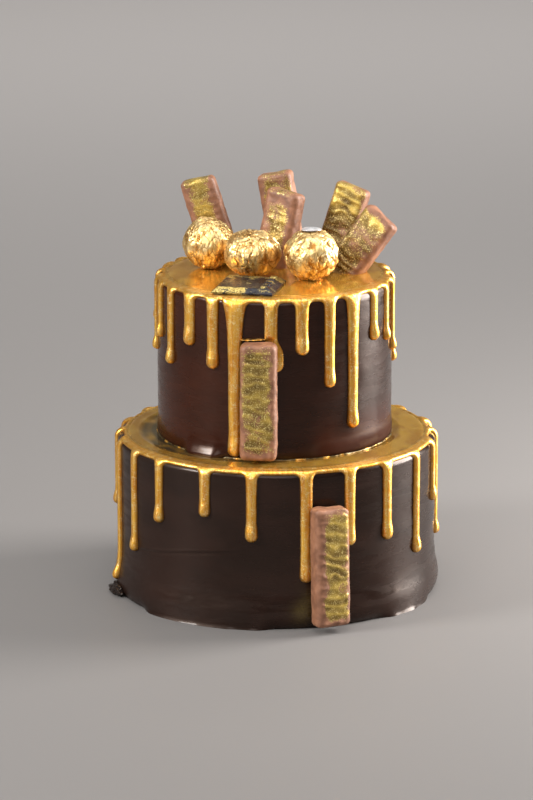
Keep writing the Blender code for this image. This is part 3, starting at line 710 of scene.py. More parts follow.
def lower_relief(angle, z):
    """Relief of the lower wall: marks, a long scrape at the front left, pits, waves, foot lips."""
    line_z = 0.0398 + 0.00026 * (angle - 311.0) + 0.0004 * np.sin(np.radians(angle * 9.0))
    groove = np.exp(-((z - line_z) / 0.0006) ** 2) - 0.8 * np.exp(-((z - line_z - 0.0014) / 0.0008) ** 2)
    scrape = groove * angle_window(angle, -54.0, -24.0, 8.0, 16.0)
    pits = ease((wall_noise(angle, z, 70.0, 700.0, 17) - 0.55) / 0.2)
    pits = pits * ease((0.036 - z) / 0.01) * angle_window(angle, -55.0, -5.0, 10.0)
    waves = wall_noise(angle, z, 5.0, 60.0, 18) * angle_window(angle, 35.0, 88.0, 12.0)
    marks = knife_marks(angle, z, 0.00026, 11)
    return marks - 0.00048 * scrape - 0.00012 * pits + 0.00022 * waves + foot_lips(angle, z, LOWER_LIPS)


def upper_relief(angle, z):
    """Relief of the upper wall: marks and the glaze that curls outwards at its foot."""
    waves = wall_noise(angle, z, 6.0, 60.0, 22) * angle_window(angle, 35.0, 80.0, 14.0)
    marks = knife_marks(angle, z, 0.00020, 21)
    return marks + 0.00024 * waves + foot_lips(angle, z - UPPER.base_z, UPPER_LIPS)


def lower_tint(angle, z):
    """Warmth of the lower wall, gold dust left of the bar near the foot, and the dull left side."""
    cloud = 0.5 + 0.5 * wall_noise(angle, z, 9.0, 90.0, 19)
    dust = np.exp(-((angle - 10.0) / 3.6) ** 2 - ((z - 0.012) / 0.011) ** 2) * cloud
    return 0.25, 0.35 * dust, 0.12 * angle_window(angle, -75.0, -20.0, 18.0)


def upper_tint(angle, z):
    """Warmth of the upper wall, with painted light on its left and a painted reflection of the gold pool
    at its right foot, which is dull too.
    """
    # Painted light: warmer where the key light falls on the left; painted pool reflection at the right foot
    left = angle_window(angle, -80.0, -34.0, 22.0)
    foot = angle_window(angle, 30.0, 70.0, 16.0) * ease((0.132 - z) / 0.022)
    dull = angle_window(angle, 25.0, 85.0, 12.0) * ease((0.117 - z) / 0.010)
    return np.clip(0.45 + 0.55 * left + 0.9 * foot, 0.0, 1.4), 0.0, 0.42 * dull


def add_tier(name, tier, relief, tint):
    """Tier as a turned outline whose wall is pushed in and out by the relief, with its tint kept.

    The outline climbs the wall in even steps, follows a quarter circle at the top edge, and both
    ends close over flat rings to a centre point.
    """
    angle = np.arange(TIER_COLUMNS) * 360.0 / TIER_COLUMNS
    wall_z = np.arange(tier.base_z, tier.top_z - tier.edge, WALL_STEP)
    turn = np.linspace(0.0, 0.5 * math.pi, 9)
    base = wall_radius(tier, tier.base_z)
    edge = tier.radius - tier.edge * (1.0 - np.cos(turn))
    edge_z = tier.top_z - tier.edge * (1.0 - np.sin(turn))
    radius = [CAP_PARTS[::-1] * base, wall_radius(tier, wall_z), edge, CAP_PARTS * edge[-1]]
    radius = np.concatenate(radius)[:, None]
    z = [np.full(len(CAP_PARTS), tier.base_z), wall_z, edge_z, np.full(len(CAP_PARTS), tier.top_z)]
    z = np.concatenate(z)[:, None]
    radius = radius + ease((tier.top_z - z) / RELIEF_FADE) * relief(angle, z)
    points = on_circle(tier.centre_x, angle, radius, z).reshape(-1, 3)
    ends = [(tier.centre_x, 0.0, tier.base_z), (tier.centre_x, 0.0, tier.top_z)]
    shade = vectors(*tint(angle, z)).reshape(-1, 3)
    shade = joined(shade, np.zeros((2, 3)))
    faces = capped_faces(len(z), TIER_COLUMNS)
    add_piece(name + "_icing", joined(points, ends), faces, "dark_icing", [name], {"tint": shade})


def add_crag():
    """Torn lump of chocolate: a ball of directions pushed out by three sizes of noise, flat below."""
    direction = ball_directions(CRAG_ROWS, CRAG_COLUMNS)
    rough = 0.22 * soft_noise(direction, 0.55, 31) + 0.14 * np.abs(soft_noise(direction, 0.26, 32))
    rough += 0.07 * soft_noise(direction, 0.13, 33)
    local = direction * (1.0 + rough)[:, None] * CRAG_SIZE
    middle = on_circle(LOWER.centre_x, CRAG_ANGLE, LOWER.radius + CRAG_REACH, 0.8 * CRAG_SIZE[2])
    points = placed(local, Matrix.Translation(middle) @ turn_matrix(CRAG_ANGLE, "Z"))
    points[:, 2] = np.maximum(points[:, 2], 0.0)
    faces = capped_faces(CRAG_ROWS, CRAG_COLUMNS)
    add_piece("torn_chocolate", points, faces, "dark_icing", (), {"tint": np.zeros((len(points), 3))})


def stem_half(drip, down):
    """Half width of a drip's stem, wider at its root by an exponential."""
    return 0.5 * drip.neck * drip.width * (1.0 + (drip.root - 1.0) * np.exp(-down / TAPER_LENGTH))


def arch_depth(angle, number):
    """Depth of a bare gap's arch below the edge: shallow at the sides and back, where it notches the rim."""
    behind = abs((angle + 180.0) % 360.0 - 180.0) > NOTCH_ANGLE
    depth = NOTCH_DEPTH if behind else ARCH_DEPTH
    return depth + ARCH_SPREAD * float(line_noise(number * 0.77, 1.0, 5))


def gold_sectors(tier, drips):
    """Columns of the ring of gold: their angles, how far down its edge lies there, and fillets.

    Every drip has a sector of columns, from the middle of one bare gap to the next. A gap's edge
    lies at the depth of its arch, and below a drip it goes smoothly from one depth to the next.
    A fillet for every gap rounds its corners with the drips, as large as fits there.
    """
    borders = []
    fillets = []
    for i, drip in enumerate(drips):
        before = drips[i - 1]
        low = before.angle + math.degrees(stem_half(before, 0.0) / tier.radius) - (360.0 if i == 0 else 0.0)
        high = drip.angle - math.degrees(stem_half(drip, 0.0) / tier.radius)
        borders.append(0.5 * (low + high))
        fillets.append(min(FILLET, FILLET_SHARE * math.radians(high - low) * tier.radius))
    gap_depth = [arch_depth(border, k) for k, border in enumerate(borders)]
    borders.append(borders[0] + 360.0)
    fillets.append(fillets[0])
    gap_depth.append(gap_depth[0])
    share = ease(0.5 + 0.5 * ROOT_SIDES)
    columns = []
    depths = []
    for i, drip in enumerate(drips):
        reach = np.degrees((stem_half(drip, 0.0) + np.array(fillets[i:i + 2])) / tier.radius)
        left = drip.angle - reach[0]
        right = drip.angle + reach[1]
        columns.append(np.linspace(borders[i], left, FLAT_COLUMNS + 1)[:-1])
        columns.append(drip.angle + ROOT_SIDES * np.where(ROOT_SIDES < 0.0, reach[0], reach[1]))
        columns.append(np.linspace(right, borders[i + 1], FLAT_COLUMNS + 1)[1:-1])
        depths.append(np.full(FLAT_COLUMNS, gap_depth[i]))
        depths.append(gap_depth[i] * (1.0 - share) + gap_depth[i + 1] * share)
        depths.append(np.full(FLAT_COLUMNS - 1, gap_depth[i + 1]))
    return np.concatenate(columns), np.concatenate(depths), fillets


def distance_to_line(places, line):
    """Distance of flat places to the nearest stretch of a line through the given points."""
    reach = line[1:] - line[:-1]
    offset = places[..., None, :] - line[:-1]
    share = np.clip((offset * reach).sum(-1) / np.maximum((reach * reach).sum(-1), 1e-18), 0.0, 1.0)
    away = offset - share[..., None] * reach
    return np.sqrt((away * away).sum(-1).min(-1))


def rounded(depth, distance, reach):
    """Height of a bead's cross-section: a quarter of an ellipse from its outline inwards."""
    inside = np.clip(distance / reach, 0.0, 1.0)
    return depth * np.sqrt(1.0 - (1.0 - inside) ** 2)


def drip_rows(drip, length):
    """Distances below the root for the rows of a drip: dense in the fillet and round the tip."""
    bead = 0.5 * drip.width
    top = FILLET * (1.0 - np.cos(np.linspace(0.0, 0.5 * math.pi, 8)[1:]))
    middle_count = max(3, int((length - FILLET - bead) / DRIP_ROW_STEP))
    middle = np.linspace(FILLET, length - bead, middle_count + 1)[1:-1]
    tip = length - bead * (1.0 - np.sin(np.linspace(0.0, 0.5 * math.pi, 9)[:-1]))
    return joined(top, middle, tip)


def drip_shape(tier, drip, down, length, seed):
    """Middle, half width, thickness and rounding of a drip at distances below its root.

    The stem swells into the bead before it closes in a half circle, and it sways a little.
    """
    bead = 0.5 * drip.width
    left = length - down
    swell = ease((3.4 * bead - left) / (1.9 * bead))
    stem = stem_half(drip, down) * (1.0 + WIDTH_SPREAD * line_noise(down, 0.008, seed))
    full_half = stem + (bead - stem) * swell
    half = full_half * np.sqrt(1.0 - np.clip(1.0 - left / bead, 0.0, 1.0) ** 2)
    drifted = ease((down / length - DRIFT_START) / (DRIFT_END - DRIFT_START))
    middle = np.radians(drip.angle + drip.drift * drifted) * tier.radius
    middle = middle + SWAY * line_noise(down, 0.016, seed + 7) * ease(down / 0.01)
    thin = DRIP_THICKNESS * min(1.0, 0.45 + 0.55 * drip.neck * drip.width / FULL_WIDTH)
    full = BEAD_THICKNESS * min(1.0, 0.5 + 0.5 * drip.width / FULL_WIDTH)
    thick = RIM_THICKNESS + (thin - RIM_THICKNESS) * ease(down / 0.006)
    thick = thick + (full - thick) * ease((3.4 * bead - left) / (2.2 * bead))
    pressed = ease((down - PRESSED_FROM) / (PRESSED_TO - PRESSED_FROM))
    thick = thick * (1.0 - (1.0 - drip.pressed) * pressed)
    reach = RIM_ROUND + (full_half - RIM_ROUND) * ease(down / 0.005)
    return middle, half, thick[:, None], reach[:, None]


def drip_grid(tier, drip, fillets, start, seed):
    """A drip's points, by their place across and along the icing, its tip, thickness and rounding.

    They hang from a row of roots at start. Either side flares into its fillet by a quarter circle.
    """
    end = 0.5 * math.pi * tier.edge + tier.top_z - tier.edge - drip.bottom
    length = end - ARCH_DEPTH
    down = drip_rows(drip, length)
    middle, half, thick, reach = drip_shape(tier, drip, down, length, seed)
    down = down[:, None]
    flare = np.array(fillets)
    flare = flare * (1.0 - np.sqrt(1.0 - np.clip(1.0 - down / flare, 0.0, 1.0) ** 2))
    half = half[:, None] + flare
    across = middle[:, None] + ROOT_SIDES * np.where(ROOT_SIDES < 0.0, half[:, :1], half[:, 1:])
    grid = vectors(across, start + down * (end - start) / length)
    return grid, (middle[-1], end), thick, reach


class Skin:
    """Points of the gold, kept block by block, with their flow, pool and thin values."""

    def __init__(self):
        self.places = []
        self.values = {"flow": [], "pool": [], "thin": []}
        self.size = 0

    def add(self, places, flow=0.0, pool=0.0, thin=0.0):
        """Keep a block of points, and give back their numbers."""
        shape = places.shape[:-1]
        self.places.append(places.reshape(-1, 3))
        self.values["flow"].append(np.broadcast_to(flow, places.shape).reshape(-1, 3))
        self.values["pool"].append(np.broadcast_to(pool, shape).ravel())
        self.values["thin"].append(np.broadcast_to(thin, shape).ravel())
        ids = self.size + np.arange(math.prod(shape)).reshape(shape)
        self.size += ids.size
        return ids


def add_gold_skin(name, tier, drips, inner_radius, pool_depth):
    """Poured gold as one closed skin: a pool that runs over the edge and down into drips.

    The height of the gold above the icing is a quarter ellipse of the distance to its outline. The
    upper pool closes over a small inner ring, and the lower one ends at a ring in the upper tier.
    """
    angle, depth, fillets = gold_sectors(tier, drips)
    total = len(angle)
    arc = np.radians(angle) * tier.radius
    edge = vectors(np.append(arc, arc[0] + 2.0 * math.pi * tier.radius), np.append(depth, depth[0]))

    # Rows from the arches up to the start of the rounded edge
    along = [depth - step for step in EDGE_ROWS]
    pool_start = np.minimum(0.0, along[-1] - POOL_GAP)
    along = np.array(along + [0.5 * (along[-1] + pool_start), pool_start])
    ring_flat = vectors(arc, along)
    ring_edge = np.zeros(along.shape)
    hanging = []
    for i, drip in enumerate(drips):
        first = i * SECTOR_COLUMNS
        root = slice(first + FLAT_COLUMNS, first + FLAT_COLUMNS + ROOT_COLUMNS)
        block = slice(first, first + SECTOR_COLUMNS)
        grid, tip, thick, reach = drip_grid(tier, drip, fillets[i:i + 2], depth[root], 40 + 3 * i)
        left_edge = edge[first:root.start + 1]
        right_edge = edge[root.stop - 1:block.stop + 1]
        outline = joined(left_edge, grid[:, 0], [tip], grid[::-1, -1], right_edge)
        near = distance_to_line(grid, outline)
        near[:, [0, -1]] = 0.0
        hanging.append((root, grid, rounded(thick, near, reach), near, tip))
        ring_edge[:, block] = distance_to_line(ring_flat[:, block], outline)
    rise = ease((depth - along) / ARCH_DEPTH)
    thickness = RIM_THICKNESS + (POOL_THICKNESS - RIM_THICKNESS) * rise
    ring = icing_point(tier, angle, along, rounded(thickness, ring_edge, RIM_ROUND) - SINK)

    # Rows of the pool, in to the inner ring
    outside = on_circle(tier.centre_x, angle, tier.radius - tier.edge + pool_start, tier.top_z)
    inside = on_circle(UPPER.centre_x, angle, inner_radius, tier.top_z)
    shares = np.linspace(0.0, 1.0, POOL_ROWS + 1)[1:, None]
    pool = outside + shares[..., None] * (inside - outside)
    rise, pool_thin = pool_depth(pool, angle)
    pool[..., 2] += rise
    along = joined(along, pool_start - shares * np.linalg.norm(inside - outside, axis=-1))
    near = joined(ring_edge, np.full(rise.shape, DEEP_INSIDE))
    skin = Skin()
    top = skin.add(
        joined(ring, pool),
        vectors(arc, along, near),
        ease((-along - POOL_FADE_START) / POOL_FADE),
        joined(np.zeros(ring_edge.shape), pool_thin),
    )
    quads = [grid_quads(top, True)]
    triangles = []

    # Drips hang from the root columns of the arch row, and their backs are strips from side to side
    for root, grid, height, near, tip in hanging:
        places = icing_point(tier, np.degrees(grid[..., 0] / tier.radius), grid[..., 1], height - SINK)
        ids = skin.add(places, vectors(grid[..., 0], grid[..., 1], near))
        ids = joined(top[:1, root], ids)
        place = icing_point(tier, np.degrees(tip[0] / tier.radius), np.array(tip[1]), -SINK)
        tip_id = skin.add(place, (*tip, 0.0))
        quads += [grid_quads(ids), grid_quads(ids[:, [0, -1]])]
        triangles.append(fan_triangles(ids[-1], tip_id))

    # Underside of the ring, sunk in the icing, from the arches in to the pool's inner ring
    low_z = tier.top_z - 2.0 * SINK
    outer_low = icing_point(tier, angle, np.zeros(total), -2.0 * SINK)
    inner_low = on_circle(UPPER.centre_x, angle, inner_radius, low_z)
    under = skin.add(np.stack([outer_low, inner_low]), 0.0, 1.0)
    quads.append(grid_quads(under, True))
    split = ROOT_COLUMNS // 2
    for first in range(0, total, SECTOR_COLUMNS):
        root = first + FLAT_COLUMNS + np.arange(ROOT_COLUMNS)
        for flat in (np.arange(first, root[0] + 1), np.arange(root[-1], first + SECTOR_COLUMNS + 1) % total):
            quads.append(grid_quads(np.stack([top[0, flat], under[0, flat]])))
        ends = np.where(np.arange(ROOT_COLUMNS - 1) < split, root[0], root[-1])
        triangles.append(vectors(under[0, root[:-1]], under[0, root[1:]], ends))
        triangles.append(np.array([[under[0, root[split]], root[-1], root[0]]]))
    if tier is UPPER:
        high_z = tier.top_z + rise[-1].mean()
        centres = skin.add(np.array([(UPPER.centre_x, 0.0, high_z), (UPPER.centre_x, 0.0, low_z)]), 0.0, 1.0)
        triangles += [fan_triangles(top[-1], centres[0]), fan_triangles(under[1], centres[1])]
    else:
        quads.append(grid_quads(np.stack([top[-1], under[1]]), True))
    faces = [np.concatenate(quads), np.concatenate(triangles)]
    values = {label: np.concatenate(blocks) for label, blocks in skin.values.items()}
    add_piece(name, np.concatenate(skin.places), faces, "gold_icing", [name + "_drip"], values)


def source_wave(position):
    """The part's own repeatable value from -1 to 1 for a back drip."""
    return max(-1.0, min(1.0, 2.0 * noise.noise(Vector((position * 1.37, 4.7, 0.3)))))


def all_drips(front, back):
    """Front drips, and those that fill the space behind them, as in the part's source."""
    count, bottom = back
    step = (360.0 - (front[-1].angle - front[0].angle)) / (count + 1)
    drips = list(front)
    for k in range(1, count + 1):
        angle = front[-1].angle + step * (k + BACK_SPREAD * source_wave(k + 20.0))
        end = bottom + BACK_END_SPREAD * source_wave(k + 3.5)
        width = BACK_WIDTH * (1.0 + BACK_SPREAD * source_wave(k + 50.0))
        drips.append(Drip(angle, end, width, BACK_NECK))
    return drips


def upper_pool_depth(points, angle):
    """Height of the gold on the upper tier: even, with shallow swells, and nowhere thin."""
    swell = 0.00010 * soft_noise(points, 0.016, 61) + 0.00004 * soft_noise(points, 0.006, 62)
    return POOL_LIFT + POOL_THICKNESS + swell, np.zeros(swell.shape)


def lower_pool_depth(points, angle):
    """Height of the gold on the lower tier, and where it is thin enough for the dark to show.

    Beyond a contour a few millimetres from the upper wall it is full. Inside, it is thin, with
    rings like those of a dried puddle: a sine of the distance to the wall, bent by noise. The
    front left is the thinnest.
    """
    away = np.hypot(points[..., 0] - UPPER.centre_x, points[..., 1]) - UPPER.radius
    left = (0.5 + 0.5 * np.cos(np.radians(angle + 72.0))) ** 2
    wander = soft_noise(points, 0.022, 63)
    contour = 0.0050 + 0.0075 * left + 0.0012 * wander
    rise = ease((away - contour + 0.0040) / 0.0050)
    rings = np.sin(away / 0.0011 + 3.0 * wander) * np.exp(-(away / 0.009) ** 2)
    ridge = np.exp(-((away - contour - 0.0004) / 0.0009) ** 2)
    swell = 0.00010 * soft_noise(points, 0.014, 64)
    height = POOL_LIFT + POOL_THIN + (POOL_THICKNESS - POOL_THIN) * rise + 0.00015 * ridge + swell
    cloud = ease(1.1 + soft_noise(points, 0.010, 65))
    thin = (1.0 - rise) * (0.20 + 0.60 * left) * cloud * (0.86 + 0.22 * rings) + 0.10 + 0.14 * left
    return height, np.clip(thin, 0.0, 1.0)


def add_gold():
    """Gold on both tiers."""
    upper = all_drips(UPPER_FRONT, UPPER_BACK)
    lower = all_drips(LOWER_FRONT, LOWER_BACK)
    add_gold_skin("upper_gold", UPPER, upper, UPPER_POOL_CENTRE, upper_pool_depth)
    add_gold_skin("lower_gold", LOWER, lower, UPPER.radius - 0.0010, lower_pool_depth)


def add_gold_trail(name, angle, radius, z, reach, rise, dark, closed):
    """Thin trail of gold on the upper wall: an ellipse carried along an arc, as its size wanders."""
    middle = on_circle(UPPER.centre_x, angle, radius, z)
    outward = on_circle(0.0, angle, 1.0, 0.0)
    swing = np.arange(TUBE_SIDES) * 2.0 * math.pi / TUBE_SIDES
    points = middle[:, None] + (reach[:, None] * np.cos(swing))[..., None] * outward[:, None]
    points[..., 2] += rise[:, None] * np.sin(swing)
    points = points.reshape(-1, 3)
    shade = np.repeat(dark, TUBE_SIDES)
    if closed:
        ids = np.arange(len(points)).reshape(-1, TUBE_SIDES)
        faces = [grid_quads(joined(ids, ids[:1]), True)]
    else:
        faces = capped_faces(len(middle), TUBE_SIDES)
        points = joined(points, middle[:1], middle[-1:])
        shade = np.append(shade, (0.0, 0.0))
    across = 0.7 * points[:, 0] + points[:, 2]
    flow = vectors(across, 0.0, 0.002)
    values = {"flow": flow, "pool": np.zeros(len(points)), "thin": shade}
    add_piece(name, points, faces, "gold_icing", (), values)


def add_gold_trails():
    """Uneven bead of gold round the foot of the upper tier, and a smear above the bar that leans on it."""
    angle = np.arange(JOINT_COLUMNS) * 360.0 / JOINT_COLUMNS
    where = on_circle(UPPER.centre_x, angle, UPPER.radius, 0.0)
    lump = 0.5 + 0.5 * soft_noise(where, 0.006, 111) + 0.40 * soft_noise(where, 0.0022, 112)
    thick = 0.00045 + 0.00070 * np.clip(lump, 0.0, 1.3)
    radius = UPPER.radius - 0.0006 + 0.0004 * soft_noise(where, 0.004, 113)
    dark = 0.95 * ease(0.9 + 1.6 * soft_noise(where, 0.0034, 114))
    z = LOWER.top_z + 0.0009
    add_gold_trail("gold_joint_bead", angle, radius, z, 1.25 * thick, thick, dark, True)
    angle = np.linspace(*SMEAR_ANGLES, SMEAR_COLUMNS)
    size = np.sqrt(np.clip(1.0 - np.linspace(-1.0, 1.0, SMEAR_COLUMNS) ** 4, 0.02, 1.0))
    size = size * (1.0 + 0.55 * line_noise(angle, 1.3, 121))
    z = SMEAR_Z + 0.0007 * ease((angle + 12.0) / 8.0) + 0.0003 * line_noise(angle, 2.0, 122)
    radius = UPPER.radius + 0.0010
    dark = 0.75 * ease(0.5 + 1.6 * line_noise(angle, 1.6, 123))
    add_gold_trail("gold_smear", angle, radius, z, 0.0022 * size, 0.0006 * size, dark, False)


def rounded_rectangle(half_width, half_depth, corner, count):
    """Even points round a rectangle with rounded corners, and their outward directions.

    Each side is a straight stretch and then a bend, along which the outward direction turns.
    """
    straight = 2.0 * (np.array((half_width, half_depth) * 2) - corner)
    reach = np.array((half_depth, half_width) * 2) - corner
    ends = np.cumsum(straight + 0.5 * math.pi * corner)
    walk = np.arange(count) * ends[-1] / count
    side = np.searchsorted(ends, walk, side="right")
    step = walk - np.append(0.0, ends)[side]
    turn = 0.5 * math.pi * side
    swung = turn + np.maximum(step - straight[side], 0.0) / corner
    normal = vectors(np.sin(turn), -np.cos(turn))
    forward = vectors(np.cos(turn), np.sin(turn))
    out = vectors(np.sin(swung), -np.cos(swung))
    walked = np.minimum(step, straight[side]) - 0.5 * straight[side]
    return reach[side, None] * normal + walked[:, None] * forward + corner * out, out


def bar_points(width, length, end_slope, dust, seed):
    """Bar standing on z = 0: a rounded rectangle carried upwards, with rounded ends and ripples.

    The broad faces carry wavy cross ripples: a sine of the height, sharpened at its crests, whose
    phase wanders with the place, strongest in the middle of the face. The outline swells and
    shrinks along the bar as melted chocolate does. The ends close in rings that shrink to a point.
    The share of dust is high in a patch of the broad faces that wanders along the bar. The dust's
    brightness, kept as crest, is thicker dust and painted highlight on ripple crests and clumps,
    and it drops as painted shade below a share of the height, where the dust thins a little too.
    """
    section, out = rounded_rectangle(0.5 * width, 0.5 * BAR_DEPTH, BAR_CORNER, BAR_COLUMNS)
    swing = np.linspace(0.5 * math.pi, 0.0, 9)
    low_z = BAR_END_ROUND * (1.0 - np.sin(swing))
    low_inset = BAR_END_ROUND * (1.0 - np.cos(swing))
    middle = np.linspace(BAR_END_ROUND, length - BAR_END_ROUND, int(length / BAR_ROW_STEP))[1:-1]
    caps = len(BAR_CAP_PARTS)
    z = np.pad(joined(low_z, middle, length - low_z[::-1]), caps, "edge")
    inset = np.pad(joined(low_inset, 0.0 * middle, low_inset[::-1]), caps, "edge")
    shrink = joined(BAR_CAP_PARTS, np.ones(len(z) - 2 * caps), BAR_CAP_PARTS[::-1])
    flat = (section - inset[:, None, None] * out) * shrink[:, None, None]
    points = vectors(flat[..., 0], flat[..., 1], z[:, None])
    across = points[..., 0] / (0.5 * width)
    height = z[:, None] / length
    broad_out = np.abs(out[:, 1])
    broad = broad_out * ease((1.0 - np.abs(across)) / 0.40)

    wander = soft_noise(points, 0.012, seed) + 0.7 * soft_noise(points, 0.0055, seed + 1)
    pitch = RIPPLE_PITCH * (1.0 + 0.25 * line_noise(z[:, None], 0.03, seed + 6))
    phase = 2.0 * math.pi * z[:, None] / pitch + 2.9 * wander + 1.2 * across
    crest = np.exp(1.3 * (np.sin(phase) - 1.0))
    clumps = 0.5 + 0.5 * soft_noise(points * np.array((0.6, 1.0, 1.0)), 0.0040, seed + 10)
    lit = np.clip(0.60 * min(1.0, dust.rippled) * crest + clumps ** 1.5 - 0.06, 0.0, 1.0)
    # Painted shade: below a share of the height the dust's brightness drops, and its cover thins a little
    bright = ease((height - dust.dull_below) / 0.16 + 0.5)
    lit = lit * (0.15 + 0.85 * bright)
    strength = dust.rippled * (0.70 + 0.75 * soft_noise(points, 0.009, seed + 7))
    ripple = RIPPLE_HEIGHT * broad * strength * (1.6 * crest - 0.75)
    lumps = 0.00032 * soft_noise(points, 0.009, seed + 2) + 0.00023 * soft_noise(points, 0.0032, seed + 3)
    push = (ripple + lumps - 0.00015) * (1.0 - inset / BAR_END_ROUND)[:, None]
    points[..., :2] += push[..., None] * out
    end = ease((height - 0.85) / 0.15)
    rough = 0.00060 * soft_noise(points * np.array((1.0, 1.0, 0.2)), 0.0055, seed + 4)
    points[..., 2] += end * (end_slope * points[..., 0] + rough)

    drawn = across - dust.middle - 0.30 * line_noise(points[..., 2], 0.017, seed + 8)
    edge = dust.edge * ease((height - 0.93) / 0.03) * ease((0.90 - np.abs(across)) / 0.3)
    patch = ease((dust.half_width - np.abs(drawn)) / 0.75 + 0.5)
    patch = patch * ease((height - dust.low) / 0.12) * ease((dust.high - height) / 0.16)
    patch = np.maximum(patch * ease(1.6 * broad_out), edge)
    cloud = soft_noise(points, 0.013, seed + 5) + 0.6 * soft_noise(points, 0.0055, seed + 9)
    patch = dust.thick * np.clip(patch * (0.92 + 0.42 * cloud) * (0.72 + 0.28 * bright), 0.0, 1.0)
    ends = [(0.0, 0.0, 0.0), (0.0, 0.0, points[-1, :, 2].mean())]
    points = joined(points.reshape(-1, 3), ends)
    return points, np.append(patch, (0.0, 0.0)), np.append(lit, (0.5, 0.5)), len(z)


def upright_place(bar):
    """Placement of a bar planted in the upper tier, as in the part's source."""
    foot = Matrix.Translation((bar.foot_x, bar.foot_y, POOL_TOP_Z))
    lean = turn_matrix(bar.lean_right, "Y") @ turn_matrix(-bar.lean_back, "X")
    return foot @ lean @ turn_matrix(bar.turn, "Z") @ Matrix.Translation((0.0, 0.0, -BAR_PLANTED))


def stuck_place(bar):
    """Placement of a bar that stands against a wall, as in the part's source."""
    foot = Matrix.Translation((bar.x, bar.y, bar.foot_z))
    out = Matrix.Translation((0.0, -0.5 * BAR_DEPTH, 0.0))
    return foot @ turn_matrix(bar.facing, "Z") @ turn_matrix(-bar.lean, "X") @ out


def add_bar(bar, length, place, seed):
    """One bar with its ripples, and its own coordinates kept for the dust."""
    local, patch, crest, rows = bar_points(bar.width, length, bar.end_slope, DUST[bar.name], seed)
    values = {"local": local + 0.31 * seed, "dusted": patch, "crest": crest}
    faces = capped_faces(rows, BAR_COLUMNS)
    add_piece("dusted_" + bar.name, placed(local, place), faces, "bar_chocolate", [bar.name], values)


def add_bars():
    """All seven bars."""
    for k, bar in enumerate(UPRIGHT_BARS):
        add_bar(bar, bar.shown + BAR_PLANTED, upright_place(bar), 70 + 9 * k)
    for k, bar in enumerate(STUCK_BARS):
        add_bar(bar, bar.length, stuck_place(bar), 130 + 9 * k)


def sphere_spread(count, start):
    """Points spread evenly over the unit sphere along a spiral that turns by the golden angle."""
    k = np.arange(count) + 0.5
    z = 1.0 - 2.0 * k / count
    turn = start + math.pi * (3.0 - math.sqrt(5.0)) * k
    level = np.sqrt(1.0 - z * z)
    return vectors(level * np.cos(turn), level * np.sin(turn), z)


def nearest_two(points, centres):
    """Squared distances from every point to its nearest and its second nearest centre."""
    near = np.empty((len(points), 2))
    for start in range(0, len(points), POINTS_AT_ONCE):
        block = points[start:start + POINTS_AT_ONCE]
        squares = (block ** 2).sum(1)[:, None] + (centres ** 2).sum(1) - 2.0 * block @ centres.T
        near[start:start + POINTS_AT_ONCE] = np.partition(squares, 1, axis=1)[:, :2]
    return near


def crumple(direction, seed):
    """Crumpled foil: how far its surface rises or sinks, and the painted shade along its creases.

    Squared distances to the nearest of two seeded sets of centres are taken from each other. The
    bowls of both sets cancel out and leave flat facets that meet in sharp ridges and valleys. It
    is done at four sizes, all but the largest only strong in places. Height counts less than the
    other directions, so most creases stand upright.
    """
    draw = np.random.default_rng(seed)
    squash = np.array((1.0, 1.0, CREASE_UPRIGHT))
    bent = direction + 0.05 * np.stack([soft_noise(direction, 0.32, seed + k) for k in range(3)], -1)
    rise = np.zeros(len(direction))
    crease_shade_lines = np.zeros(len(direction))
    for k, (cells, slope) in enumerate(FACET_SIZES):
        size = 2.0 / math.sqrt(cells)
        local = ease(0.5 + 0.9 * soft_noise(direction, 0.42, seed + 40 + k)) if k else 1.0
        for sign in (1.0, -1.0):
            centres = sphere_spread(cells, draw.uniform(0.0, 2.0 * math.pi))
            centres = centres + draw.normal(scale=FACET_JITTER * size, size=(cells, 3))
            centres = centres / np.linalg.norm(centres, axis=1)[:, None]
            near = nearest_two(bent * squash, centres * squash)
            rise += sign * slope * local * near[:, 0]
            edge = (near[:, 1] - near[:, 0]) / (2.0 * size * CREASE_SOFT)
            strength = local * (1.0 if sign < 0.0 else 0.35)
            crease_shade_lines = np.maximum(crease_shade_lines, strength * np.exp(-edge ** 2))
    return rise, crease_shade_lines


def add_ball(ball, seed):
    """Foil ball: a squashed sphere whose radius follows the crumple, pleated below, flat at its foot."""
    direction = ball_directions(BALL_ROWS, BALL_COLUMNS)
    x, y, z = direction.T
    rise, crease_shade_lines = crumple(direction, seed)
    low = ease((-z - 0.25) / 0.6) * np.hypot(x, y)
    pleats = np.abs(np.sin(PLEATS * np.arctan2(y, x) + 2.2 * soft_noise(direction, 0.5, seed + 9)))
    dents = soft_noise(direction, 0.75, seed + 4)
    factor = BALL_SHARE + rise + 0.028 * dents + 0.060 * low * (pleats - 0.6)
    points = direction * factor[:, None] * np.array((ball.radius, ball.radius, ball.half_height))
    points[:, 2] = np.maximum(points[:, 2] + ball.half_height - BALL_FLAT, 0.0)
    points += np.array((ball.x, ball.y, BALL_REST_Z))
    # Painted shade for the foil: sunken places, and lines along creases, deepest along valleys
    crease_shade = np.clip(0.08 - 12.0 * rise, 0.0, 0.36) + 0.62 * crease_shade_lines
    faces = capped_faces(BALL_ROWS, BALL_COLUMNS)
    add_piece("crumpled_" + ball.name, points, faces, "gold_foil", [ball.name], {"crease_shade": crease_shade}, 30.0)


